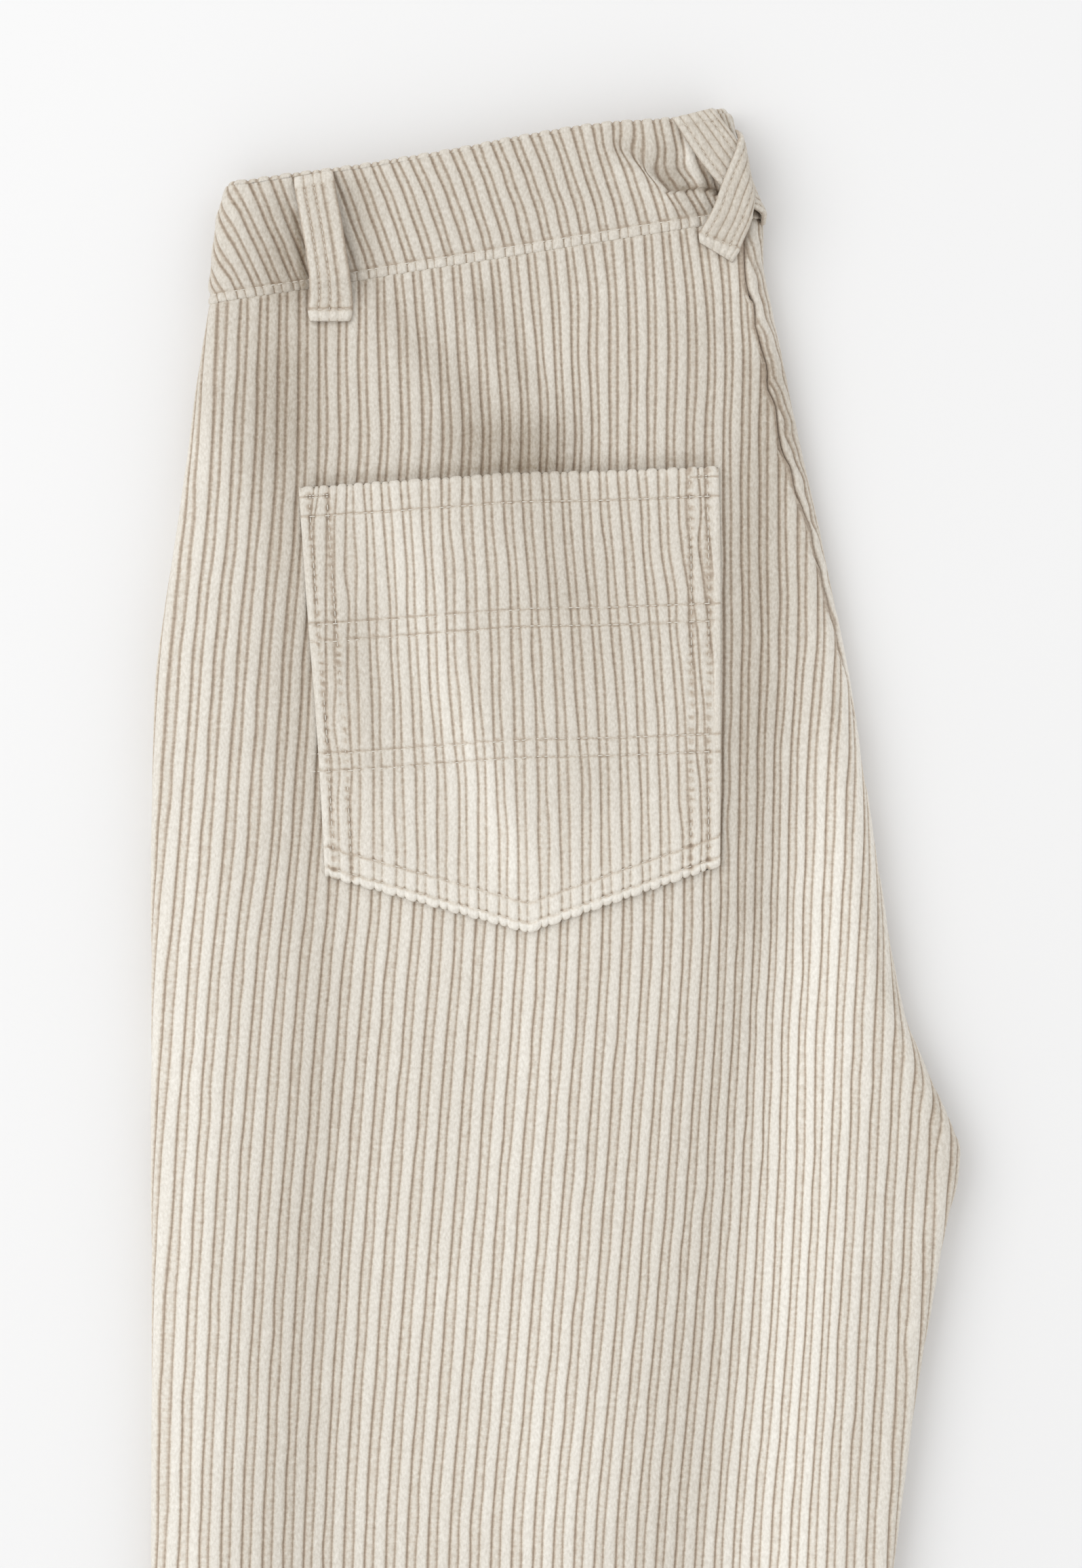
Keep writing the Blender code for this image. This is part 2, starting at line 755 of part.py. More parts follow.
def folded_layers():
    """The front of the upper leg and both sides of the lower leg, as one solid.

    A grid follows the top layer's inside.  Its rim goes down in levels that are set in where two
    layers part, and the underside is flat.
    """
    rows = [*band_rows(), *leg_rows()]
    del rows[-2], rows[1]
    mesh = bmesh.new()
    last = len(rows) - 1

    def end_shift(j, inset):
        return inset if j == last else -inset if j == 0 else 0.0

    def rim_places(row):
        return [row.at_turn(-1, OUTSEAM_TURN), *plain_places(row), row.at_turn(1, OUTSEAM_TURN)]

    top = []
    for j, row in enumerate(rows):
        made = []
        for u in rim_places(row):
            point = row.place(u, -row.cloth - LAYER_GAP - row.rise)
            made.append(mesh.verts.new(point + Vector((0, end_shift(j, TOP_INSET), 0)) * MM))
        top.append(made)
    fill_grid(mesh, top)

    def rim_point(j, i, level):
        row, columns = rows[j], len(top[0])
        share, inset = END_LAYERS[level]
        shift = Vector((0, end_shift(j, inset), 0)) * MM
        if i in (0, columns - 1):
            point = row.under(-1 if i == 0 else 1, level)
            if j in (0, last):
                point.z = (point.z + share * stack_height(row.left_y) * MM) / 2
            return point + shift
        point = row.place(rim_places(row)[i], 0)
        ends = row.under(-1, level).x, row.under(1, level).x
        from_left, from_right = RIM_STEP * MM * i, RIM_STEP * MM * (columns - 1 - i)
        x = min(max(point.x, ends[0] + from_left), ends[1] - from_right)
        return Vector((x, point.y, share * stack_height(row.left_y) * MM)) + shift

    columns = len(top[0])
    rim = [(0, i) for i in range(columns)]
    rim += [(j, columns - 1) for j in range(1, last + 1)]
    rim += [(last, i) for i in range(columns - 2, -1, -1)]
    rim += [(j, 0) for j in range(last - 1, 0, -1)]
    loops = [[top[j][i] for j, i in rim]]
    for level in range(len(END_LAYERS)):
        loops.append([mesh.verts.new(rim_point(j, i, level)) for j, i in rim])
    fill_grid(mesh, [[*loop, loop[0]] for loop in loops])
    floor = mesh.faces.new(loops[-1])
    for vertex in floor.verts:
        vertex.co.z = 0
    bmesh.ops.triangulate(mesh, faces=[floor])
    return finish(mesh, "folded_layers", CORDUROY_UNDER)


def clear_scene():
    for old in list(bpy.data.objects):
        bpy.data.objects.remove(old)
    made = bpy.data.collections.new(COLLECTION)
    bpy.context.scene.collection.children.link(made)


clear_scene()
GROUND_ROWS = leg_rows()
back_leg()
back_leg_beyond_seam()
waistband()
back_pocket()
belt_loop("belt_loop_side", SIDE_LOOP)
belt_loop("belt_loop_cross_under", UNDER_LOOP)
belt_loop("belt_loop_cross_over", OVER_LOOP)
folded_layers()
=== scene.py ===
"""Corduroy trousers, folded in half along the centre seams and laid flat, back outwards.

Tables are in millimetres: +X runs from the outseam to the seat and inseam, +Y from hem to waist,
+Z up from the surface that the trousers lie on.
"""

import math

import bpy
import numpy as np
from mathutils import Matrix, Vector


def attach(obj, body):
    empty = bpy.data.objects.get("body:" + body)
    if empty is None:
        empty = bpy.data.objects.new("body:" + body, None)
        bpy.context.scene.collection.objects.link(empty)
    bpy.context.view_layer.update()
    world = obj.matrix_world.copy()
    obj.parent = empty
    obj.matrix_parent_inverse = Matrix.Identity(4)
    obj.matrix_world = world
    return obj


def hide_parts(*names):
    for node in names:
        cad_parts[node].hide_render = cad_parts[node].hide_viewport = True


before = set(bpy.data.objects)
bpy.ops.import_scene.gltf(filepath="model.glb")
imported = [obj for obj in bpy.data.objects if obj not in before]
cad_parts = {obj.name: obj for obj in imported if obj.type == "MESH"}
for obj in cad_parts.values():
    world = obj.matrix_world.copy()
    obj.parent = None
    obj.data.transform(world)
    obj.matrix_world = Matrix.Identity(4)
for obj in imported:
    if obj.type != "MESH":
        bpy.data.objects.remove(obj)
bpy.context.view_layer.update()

# ------------------------------------------------------------------ back of the upper leg
# One panel of thick cotton corduroy, a wide and a narrow wale by turns.  It lies on top, rolls
# over the outseam on the left, and ends in the seat seam and the inseam on the right.
MM = 0.001
CLOTH, HEM_CLOTH = 1.5, 2.4  # thickness of one ply, and of the turned-up hem
HEM_TOP, HEM_STITCH, HEM_FOOT = -510.0, -519.0, -540.0
SEAM_GAP = 0.3
WIDE_RISE = 0.95  # of the wide wale above the groove
# One repeat from groove to groove: place, rise.  The narrow wale comes first.
WALE = (
    (0.000, 0.00), (0.050, 0.34), (0.105, 0.60), (0.160, 0.68), (0.280, 0.68), (0.352, 0.44),
    (0.405, 0.15), (0.455, 0.50), (0.515, 0.82), (0.610, 0.95), (0.820, 0.95), (0.905, 0.74),
    (0.958, 0.34),
)
# Plan of the folded pair: y, the outseam edge's x, the seat and inseam edge's x.
OUTLINE = (
    (-540, -141.0, 98.0), (-420, -143.5, 101.5), (-300, -145.5, 105.5), (-180, -147.5, 110.5),
    (-120, -148.4, 114.0), (-60, -149.1, 119.0), (2, -149.5, 125.7), (54, -149.5, 132.5),
    (99, -149.5, 139.8), (129, -149.5, 145.5), (146, -149.5, 149.4), (155, -149.5, 149.95),
    (163, -149.5, 147.6), (175, -149.5, 142.2), (190, -149.5, 135.6), (205, -149.5, 129.8),
    (220, -149.5, 126.4), (280, -149.3, 117.0), (325, -148.2, 110.0), (355, -144.6, 104.3),
    (385, -139.8, 98.0), (415, -135.4, 91.2), (445, -131.7, 85.0), (467, -128.2, 80.2),
    (482, -126.6, 77.5), (490, -125.8, 77.3), (496, -125.1, 77.2), (500, -124.5, 76.4),
    (504, -123.5, 72.4), (508, -122.3, 69.0), (516, -119.2, 66.0), (528, -116.6, 66.6),
    (537, -114.6, 65.2), (540, -114.0, 63.2),
)
# Height of the top layer's ground above the floor, down the leg.
STACK = (
    (-540, 13.2), (-300, 14.2), (-100, 15.2), (60, 16.6), (180, 18.2), (300, 18.8), (430, 19.2),
    (470, 19.6), (540, 20.2),
)
# Soft folds of the top layer: half width, rise (a trough's is negative), and the fold's line.
FOLDS = (
    (17, 1.5, ((-122, 430), (-124, 200), (-122, -300), (-116, -470))),
    (25, -2.3, ((-92, 300), (-76, 190), (-84, -160), (-84, -440))),
    (33, 1.7, ((6, 225), (0, 40), (-22, -420))),
    (20, -2.4, ((88, 425), (82, 250), (62, 20), (42, -160), (30, -400))),
    (17, 1.5, ((100, 330), (112, 200), (103, 20), (84, -200), (74, -430))),
    (17, 1.6, ((-62, 392), (-10, 262))),
    (13, -2.2, ((-38, 414), (6, 412))),
    (10, -1.0, ((-66, 462), (-28, 428))),
    (18, -2.4, ((-89, 503), (-85, 475))),
    (9, -1.8, ((46, 515), (57, 505))),
    (12, -1.0, ((-20, 485), (-34, 440))),
)
# The grooves to the right of every third wide wale, from the outseam to the seat: y, then x.
WALE_LINES = (
    (-540, -180, -156.5, -133.3, -110, -88, -64.8, -42, -19.2, 3.3, 26, 47.8, 69, 90.5, 113,
     135.5),
    (-150, -174, -150.5, -127.5, -104.5, -82.5, -59.3, -36.4, -13.5, 9, 31.5, 53, 74, 94.8, 117.3,
     140),
    (15, -169.8, -146.2, -123, -99.8, -77.7, -54.2, -30.9, -7.6, 15.2, 37.9, 59.6, 80.2, 100.6,
     122.6, 145),
    (75, -168.1, -144.5, -120.2, -97.2, -74, -49.8, -25.8, -2.5, 20.8, 43.2, 64.8, 85, 104, 126,
     148.5),
    (135, -164.6, -141, -116.7, -93.3, -69.6, -44.9, -21.2, 2.6, 25.9, 48.2, 68.8, 88.5, 107.4,
     129.2, 151.4),
    (165, -162.6, -139, -114.7, -90.7, -67.1, -42.6, -18.8, 4.8, 28.3, 50.3, 70.3, 89.4, 108.8,
     131, 153.5),
    (195, -160.4, -136.8, -112.4, -88.7, -64.6, -40.3, -16.4, 7.1, 30.5, 52.5, 71.7, 89.7, 109.8,
     132.9, 155.4),
    (225, -158.2, -134.5, -109.7, -86, -62, -37.5, -14.4, 9.1, 32.2, 54.2, 73.1, 91.2, 111.6, 133,
     155),
    (240, -156.7, -133, -108.2, -84.3, -60.4, -36.6, -13.7, 9.6, 32.7, 54.8, 73.7, 91.6, 112.5,
     133.5, 154.5),
    (270, -153.9, -130.3, -104.5, -82.2, -58.5, -34.9, -12.3, 10.2, 32.9, 54.9, 74.2, 92.6, 114,
     135, 156),
    (300, -151.7, -128.1, -102.5, -80.1, -56.6, -33.2, -10.9, 10.9, 33.2, 55, 74.8, 93.2, 115.8,
     136.8, 157.8),
    (345, -148.3, -124.7, -99.6, -77, -53.7, -30.7, -8.7, 11.8, 33.5, 55.2, 76.1, 96.5, 117.5,
     138.5, 159.5),
    (390, -143.7, -120, -95.6, -73.8, -50.9, -28.2, -6.6, 12.8, 33.8, 55.4, 75.2, 96.8, 117.8,
     138.8, 159.8),
    (420, -141.8, -118.2, -94.7, -71.7, -48.9, -26.6, -5.2, 13.4, 34.1, 55.5, 75.4, 96.4, 117.4,
     138.4, 159.4),
    (450, -140.3, -116.7, -94.3, -72.7, -50, -28.5, -6.7, 12.6, 34.5, 56.5, 75.8, 96.8, 117.8,
     138.8, 159.8),
    (465, -139.7, -116, -94.3, -72.5, -51.2, -29.3, -8, 12.7, 34.3, 56.1, 74.6, 95.6, 116.6, 137.6,
     158.6),
    (495, -138.4, -114.7, -94.3, -72.1, -53.6, -32.1, -11.3, 10.1, 32.5, 52.4, 74, 95, 116, 137,
     158),
)
FIRST_LINE, LINES_APART = -3, 3
LEG_WALES = (-4, 41)  # first and last repeat that the leg needs
# The seat seam, then the inseam: y, and how far round the edge from the top it lies, degrees.
SEAM_TURN = (
    (-540, 105), (190, 105), (250, 98), (304, 88), (326, 74), (351, 54), (385, 41), (415, 19),
    (500, 17),
)
OUTSEAM_TURN = 105
SEAM_PUCKER = 3.2  # how far the seat seam swings to and fro, degrees
PUCKER_ENDS = (215, 260, 470, 490)  # and where that begins and ends
LEG_TOP = 467.5  # the outseam's end at the waistband
FORK_FOOT, FORK_HEAD = 160, 205  # the seat's single fold opens into two legs between these
# A row's y at the outseam and at the seat, from the waistband's seam down to where rows run level.
LEG_SLANT = (
    (-600, -600), (400, 400), (420, 426), (443, 457), (464, 494.5), (467.5, 499.5),
)


def smooth(table, column):
    """A function that runs smoothly through one column of a table, with no overshoot."""
    keys = np.array([row[0] for row in table], float)
    values = np.array([row[column] for row in table], float)
    widths = np.diff(keys)
    slopes = np.diff(values) / widths
    before, after = slopes[:-1], slopes[1:]
    same_way = before * after > 0
    tangents = np.zeros(len(keys))
    tangents[1:-1][same_way] = (2 * before * after)[same_way] / (before + after)[same_way]
    tangents[0], tangents[-1] = slopes[0], slopes[-1]

    def at(key):
        key = np.clip(key, keys[0], keys[-1])
        i = np.clip(np.searchsorted(keys, key) - 1, 0, len(widths) - 1)
        t = (key - keys[i]) / widths[i]
        start = values[i] * (1 + 2 * t) * (1 - t) ** 2 + tangents[i] * widths[i] * t * (1 - t) ** 2
        end = values[i + 1] * t * t * (3 - 2 * t) + tangents[i + 1] * widths[i] * t * t * (t - 1)
        return start + end

    return at


def between(low, high, value):
    """0 up to low, 1 from high on, and an even rise between them."""
    return np.clip((value - low) / (high - low), 0, 1)


def eased(low, high, value):
    """As between, with soft ends."""
    t = between(low, high, value)
    return t * t * (3 - 2 * t)


def within(ends, value):
    """1 between the middle two of four ends, and softly down to 0 at the outer two."""
    return eased(ends[0], ends[1], value) * eased(ends[3], ends[2], value)


def mix(first, second, share):
    return first + (second - first) * share


def hump(distance, half):
    """1 at no distance, and softly down to 0 past the half width."""
    return np.exp(-((distance / half) ** 2))


def columns_of(table):
    return [smooth(table, column) for column in range(1, len(table[0]))]


outseam_x, inner_x = smooth(OUTLINE, 1), smooth(OUTLINE, 2)
stack_height, seam_turn, leg_slant = smooth(STACK, 1), smooth(SEAM_TURN, 1), smooth(LEG_SLANT, 1)
line_columns = columns_of(WALE_LINES)
WALE_PLACES = np.array([place for place, _ in WALE])
WALE_RISES = np.array([rise for _, rise in WALE])


def from_line(x, y, line):
    """Distance of points from a line of several straight parts."""
    best = np.full(np.broadcast(x, y).shape, np.inf)
    for (x0, y0), (x1, y1) in zip(line, line[1:]):
        run = ((x - x0) * (x1 - x0) + (y - y0) * (y1 - y0)) / ((x1 - x0) ** 2 + (y1 - y0) ** 2)
        run = np.clip(run, 0, 1)
        best = np.minimum(best, np.hypot(x - x0 - run * (x1 - x0), y - y0 - run * (y1 - y0)))
    return best


def drape(x, y):
    """Height of the top layer's ground, with its folds."""
    height = stack_height(y) + 0 * x
    for half, rise, line in FOLDS:
        height = height + rise * hump(from_line(x, y, line), half)
    return height


def upright(values):
    values = np.asarray(values, float)
    return values[:, None] if values.ndim == 1 else values


LOWEST = 1.05  # ground of the lowest layer, so that its wales stand on the floor
# Rolled edges of a leg and of the seat's single fold: width; then, as shares of the stack's
# height, where the middle is and how far the roll goes above and below it; its gap to the floor.
ROLLS = {
    "upper": (7.0, 0.75, 0.25, 0.17, 0.0),
    "lower": (6.6, 0.25, 0.23, 0.25, LOWEST),
    "seat": (9.5, 0.5, 0.5, 0.5, LOWEST),
}
# Each layer: which way its face looks, its height as a share of the stack, and its leg.
LAYERS = {
    "top": (1, 1.0, "upper"),
    "upper inside": (-1, 0.58, "upper"),
    "lower inside": (1, 0.48, "lower"),
    "bottom": (-1, 0.0, "lower"),
}


class Layer:
    """One layer of the folded pair, as rows across it that roll over both edges.

    A place in a row is u: x where the cloth lies flat, and past that the length round the edge.
    """

    def __init__(self, left_y, right_y, rise=0.0, kind="top"):
        self.left_y, self.right_y, self.rise = upright(left_y), upright(right_y), rise
        self.face, self.share, leg = LAYERS[kind]
        self.left_x = outseam_x(self.left_y) + WIDE_RISE
        self.right_x = inner_x(self.right_y) - WIDE_RISE
        self.apart = 1 - between(FORK_FOOT, FORK_HEAD, self.right_y)
        wide = ROLLS[leg][0]
        right_wide = mix(ROLLS["seat"][0], wide, self.apart)
        self.left, self.right = self.left_x + wide, self.right_x - right_wide
        self.edges = {}
        for side, start, width in ((-1, self.left, wide), (1, self.right, right_wide)):
            top = drape(start, self.y_at(start))
            forms = []
            for _, middle, above, below, gap in (ROLLS["seat"], ROLLS[leg]):
                forms.append((middle * top, above * top, below * top - gap))
            apart = 1.0 if side < 0 else self.apart
            self.edges[side] = (start, width, *(mix(*form, apart) for form in zip(*forms)))

    def y_at(self, x):
        share = (x - self.left_x) / (self.right_x - self.left_x)
        return self.left_y + share * (self.right_y - self.left_y)

    def radius(self, side):
        _, wide, _, above, below = self.edges[side]
        return (wide + (above if self.face > 0 else below)) / 2

    def turned(self, side, degrees):
        """u at that angle round an edge, measured from the layer's flat side."""
        return self.edges[side][0] + side * np.radians(degrees) * self.radius(side)

    def flat(self, x, y):
        return np.maximum(self.share * drape(x, y), LOWEST)

    def lay(self, u, lift):
        """Points at u, lift out from the ground along the cloth's own normal."""
        lift = lift + self.rise
        u = u + 0 * self.left_x
        y = self.y_at(u)
        x, z = u, self.flat(u, y) + self.face * lift
        for side, (start, wide, centre, above, below) in self.edges.items():
            turn = np.maximum(side * (u - start), 0) / self.radius(side)
            near, far = (above, below) if self.face > 0 else (below, above)
            high = np.where(turn < math.pi / 2, near, far) + lift
            round_it = turn > 0
            x = np.where(round_it, start + side * (wide + lift) * np.sin(turn), x)
            z = np.where(round_it, centre + self.face * high * np.cos(turn), z)
            rolled_y = self.y_at(start + side * wide * np.sin(np.minimum(turn, math.pi / 2)))
            y = np.where(round_it, rolled_y, y)
        return np.stack(np.broadcast_arrays(x, y, z), axis=-1)


def wale_numbers(first, last):
    """Numbers of all lines down the wales, and the rise of each."""
    numbers = (np.arange(first, last)[:, None] + WALE_PLACES).ravel()
    return numbers, np.tile(WALE_RISES, last - first)


def spread(numbers, y, columns, first):
    """x of numbered wale lines at height y, from columns that each follow one line."""
    count = (numbers - first) / LINES_APART
    low = np.clip(np.floor(count), 0, len(columns) - 2).astype(int)
    x = np.zeros(y.shape)
    for i in range(len(columns) - 1):
        mine = low == i
        if mine.any():
            part = y[:, mine]
            x[:, mine] = mix(columns[i](part), columns[i + 1](part), (count - i)[mine])
    return x


def seat_seam(y):
    """Where the seam at the fold lies, with the slight swing that its stitches pull it into."""
    swing = np.sin(y / 3.2) + 0.5 * np.sin(y / 1.9 + 1)
    return seam_turn(y) + SEAM_PUCKER * swing * within(PUCKER_ENDS, y)


def leg_wales(layer, numbers):
    """u of the leg's wale lines in each row."""
    y = layer.left_y + 0 * numbers
    for _ in range(4):
        x = spread(numbers, y, line_columns, FIRST_LINE)
        y = layer.y_at(np.clip(x, layer.left, layer.right))
    return x


EDGE_STEPS = (0.0, 0.15, 0.5, 1.0, 1.7)  # extra lines of points in from a cut or turned edge


def ribs(lines, rises, low, high, steps=EDGE_STEPS):
    """Places across each row between two edges, and the wales' rise there."""
    steps = np.array(steps)
    inside = np.clip(lines, low + steps[-1], high - steps[-1])
    u = np.concatenate([low + steps, inside, high - steps[::-1]], axis=1)
    rise = np.array([np.interp(row_u, row_lines, rises) for row_u, row_lines in zip(u, lines)])
    return u, rise


def ordered(*parts):
    return np.concatenate([np.atleast_1d(np.asarray(part, float)) for part in parts])


TURNED_EDGE = (0, 22, 45, 68, 90, 115, 145, 180)  # round a fold of the cloth, degrees


def add_fold(rows, edge, at_top=False):
    """Rows down a layer, and the angle of each round its folded edge, or -1 in plain rows."""
    plain, turns = np.full(len(rows), -1), np.array(TURNED_EDGE, float)
    folded = np.full(len(turns), edge)
    if at_top:
        return ordered(folded, rows), upright(ordered(turns[::-1], plain))
    return ordered(rows, folded), upright(ordered(plain, turns))


def both_faces(layer, u, lift, thick, turn, radius, end):
    """Outer and inner points of a layer whose first or last rows go round a folded edge."""
    angle = np.radians(np.maximum(turn, 0))
    outer = layer.lay(u, np.where(turn < 0, lift, (radius + lift) * np.cos(angle) - radius))
    outer[..., 1] += np.where(turn < 0, 0, end * ((radius + lift) * np.sin(angle) - radius))
    inner = layer.lay(u, -thick)
    inner[..., 1] -= np.where(turn < 0, 0, end * radius)
    return outer, inner


def distances(steps):
    """Running length along a row of steps."""
    return np.concatenate([[0], np.cumsum(np.abs(steps))])


GROOVES = (0.0, 0.405)  # where the two grooves of a repeat lie


def waver(seed, down, numbers, step, size):
    """The slight sideways waver of the grooves, for every line across the wales.

    down is how far down each row lies, and step how far apart the bends are.
    """
    first, last = math.floor(numbers[0]), math.ceil(numbers[-1]) + 1
    grooves = (np.arange(first, last)[:, None] + np.array(GROOVES)).ravel()
    random = np.random.default_rng(seed)
    knots = random.normal(size=(int(down[-1] / step) + 3, len(grooves)))
    low = np.floor(down / step).astype(int)
    share = (down / step - low)[:, None]
    share = share * share * (3 - 2 * share)
    bends = mix(knots[low], knots[low + 1], share)
    return size * np.array([np.interp(numbers, grooves, row) for row in bends])


def wire(node, inputs):
    """Sets a node's inputs, each to a plain value or to another node's output."""
    for key, value in dict(inputs).items():
        if isinstance(value, bpy.types.NodeSocket):
            node.id_data.links.new(value, node.inputs[key])
        else:
            node.inputs[key].default_value = value
    return node


def new_finish(name):
    """A finish, a function that adds a node to it, and its shader."""
    made = bpy.data.materials.new(name)
    made.use_nodes = True

    def add(kind, inputs=(), **settings):
        node = made.node_tree.nodes.new("ShaderNode" + kind)
        for key, value in settings.items():
            setattr(node, key, value)
        return wire(node, inputs)

    return made, add, made.node_tree.nodes["Principled BSDF"]


def corduroy(name, stops):
    """Cut cotton pile: pale on the wales, dark down in the grooves (partly the ground's own colour,
    partly painted shade), finely mottled.
    """
    made, add, shader = new_finish(name)

    def noise(scale, detail, source):
        inputs = {"Scale": scale, "Detail": detail, "Vector": source}
        return add("TexNoise", inputs).outputs["Fac"]

    def calc(operation, first, second):
        return add("Math", {0: first, 1: second}, operation=operation).outputs["Value"]

    def stretched(*scale):
        return add("Mapping", {"Scale": scale, "Vector": place}).outputs["Vector"]

    place = add("TexCoord").outputs["Object"]
    grain = noise(1250.0, 2.0, stretched(1.0, 0.55, 1.0))
    tufts = noise(880.0, 1.5, stretched(0.5, 1.0, 0.8))
    clouds = noise(26.0, 2.0, place)
    pile = add("Attribute", attribute_name="pile").outputs["Fac"]
    tone = add("Attribute", attribute_name="tone").outputs["Fac"]

    # Tufts roughen the slopes of the wales, and the sum picks the colour.
    slope = calc("MULTIPLY", calc("MULTIPLY", pile, calc("SUBTRACT", 1.0, pile)), 2.6)
    ragged = calc("MULTIPLY", calc("SUBTRACT", tufts, 0.5), slope)
    ramp = add("ValToRGB", {"Fac": calc("ADD", ragged, pile)})
    for _ in stops[2:]:
        ramp.color_ramp.elements.new(0.5)
    for element, (position, colour) in zip(ramp.color_ramp.elements, stops):
        element.position = position
        element.color = (*colour, 1)

    # Grain, clouds and the tone attribute, which carries the painted shade and painted highlights,
    # shade it, and a deeper shade is also a warmer one.
    fleck = calc("MULTIPLY", calc("SUBTRACT", grain, 0.5), 0.50)
    cloud = calc("MULTIPLY", calc("SUBTRACT", clouds, 0.5), 0.10)
    shade = calc("ADD", calc("ADD", fleck, cloud), calc("SUBTRACT", tone, 1.0))
    warmer = {0: shade, 1: (1.0, 1.10, 1.22), 2: (1, 1, 1)}
    tint = add("VectorMath", warmer, operation="MULTIPLY_ADD").outputs["Vector"]
    tinted = add("VectorMath", {0: ramp.outputs["Color"], 1: tint}, operation="MULTIPLY")
    bump = add("Bump", {"Strength": 0.55, "Distance": 0.0004, "Height": calc("ADD", grain, tufts)})
    wire(shader, {
        "Roughness": 0.95, "Specular IOR Level": 0.15, "Sheen Weight": 0.12,
        "Sheen Roughness": 0.55, "Base Color": tinted.outputs["Vector"],
        "Normal": bump.outputs["Normal"],
    })
    return made


# Colours from the bottom of a groove, up the slope and the narrow wale, to the wide wale's top. The
# groove's dark colour is partly the ground weave's own and partly painted shade.
FACE = corduroy("corduroy_face", (
    (0.05, (0.38, 0.30, 0.23)),
    (0.42, (0.58, 0.50, 0.41)),
    (0.72, (0.725, 0.67, 0.585)),
    (0.96, (0.77, 0.725, 0.65)),
))

# Painted shade and painted light: soft darker and lighter bands standing in for the light on the
# folds, the shade in troughs, creases and hollows, above the pocket's mouth, beside and under the
# loops and in the
# hole under the crossed loops. Each: half width, change, and the line that it follows.
PAINTED_LIGHT_AND_SHADE = (
    (14, 0.11, ((-132, 410), (-138, 300), (-139, -540))),
    (16, -0.12, ((-99, 480), (-101, 420))),
    (15, -0.11, (
        (-101, 440), (-100, 400), (-91, 245), (-87, 205), (-93, 115), (-97, 0), (-94, -300),
        (-88, -500),
    )),
    (12, 0.05, ((-114, 380), (-112, 290))),
    (16, 0.06, ((-14, 225), (-8, 130), (-4, 60), (-10, -200))),
    (13, -0.15, ((82, 440), (73, 380), (73, 250))),
    (16, -0.09, ((72, 235), (68, 205), (58, 150), (48, 80), (42, 5), (32, -150), (24, -420))),
    (20, 0.15, ((115, 330), (101, 250), (93, 150), (85, 0), (78, -200), (68, -430))),
    (60, 0.035, ((-25, 80), (-5, -40), (-5, -540))),
    (10, -0.09, ((143, 186), (144, 150))),
    (4, -0.09, ((103, 320), (111, 260), (121, 212))),
    (26, -0.035, ((-120, 490), (70, 518))),
    (14, -0.26, ((-27, 417), (-5, 416))),
    (8, -0.11, ((-62, 464), (-34, 436))),
    (7, -0.11, ((-25, 468), (-12, 441))),
    (9, -0.07, ((54, 462), (52, 414))),
    (5, 0.10, ((90, 430), (83, 462))),
    (4, 0.10, ((94, 420), (106, 350), (113, 318))),
    (9, 0.07, ((-62, 392), (-44, 330), (-16, 262))),
    (13, 0.06, ((-50, 380), (-38, 318), (-18, 262))),
    (15, -0.07, ((-14, 394), (2, 362))),
    (16, -0.05, ((0, 392), (10, 350), (14, 290))),
    (7, -0.08, ((-74, 352), (-66, 300))),
    (2.6, -0.17, ((-88, 402.4), (-58, 404.3), (-17, 407.4), (21, 408.1), (54, 409.6))),
    (8, -0.10, ((-103, 500), (-98, 474))),
    (1.8, -0.26, ((-95.5, 500), (-93.5, 486), (-92.3, 474))),
    (7, -0.14, ((-73, 508), (-69, 476))),
    (5, -0.11, ((24, 524), (33, 520), (41, 512))),
    (4, 0.07, ((25, 515), (40, 505))),
    (4, -0.12, ((40, 524), (44, 513))),
    (7, -0.03, ((24, 533), (46, 530))),
    (5, -0.08, ((47, 502), (58, 503))),
    (2.0, 0.22, ((48, 523), (50.5, 518), (52, 512.5))),
    (2.2, -0.22, ((54.5, 518), (56.5, 512))),
    (1.5, -0.30, ((47, 509.8), (58, 509.2), (64, 508.4))),
    (2.2, -0.3, ((74.8, 501.8), (75.6, 498.8))),
)


SEAT_TONE, SEAT_RANGE = 0.075, (220, 360)  # the seat is darker than the leg, from here up


# Darker up the seat, plus the painted shade and painted light of the table above.
def tone_with_painted_light(x, y):
    tone = 1 - SEAT_TONE * eased(*SEAT_RANGE, y)
    for half, change, line in PAINTED_LIGHT_AND_SHADE:
        tone = tone + change * hump(from_line(x, y, line), half)
    return tone


def rounder(pile, y):
    """From the pocket up the narrow wales are as pale as the wide ones, and slopes are softer."""
    softer = np.interp(pile, (0, 0.36, 0.63, 0.72, 1), (0.12, 0.26, 0.50, 0.76, 0.93))
    return mix(pile, softer, eased(230, 330, y))


def put(name, data, place=(0, 0, 0)):
    """A new object in the scene."""
    thing = bpy.data.objects.new(name, data)
    thing.location = Vector(place) * MM
    bpy.context.scene.collection.objects.link(thing)
    return thing


def built(name, points, faces, finish):
    """A piece of points, in millimetres, and the faces between them."""
    mesh = bpy.data.meshes.new(name)
    mesh.from_pydata((points * MM).tolist(), [], faces)
    mesh.validate()
    mesh.polygons.foreach_set("use_smooth", [True] * len(mesh.polygons))
    mesh.materials.append(finish)
    return put(name, mesh)


WELD = 500  # steps to a millimetre; points in the same step become one
BACK_PILE = 0.62  # how pale the back of the cloth is


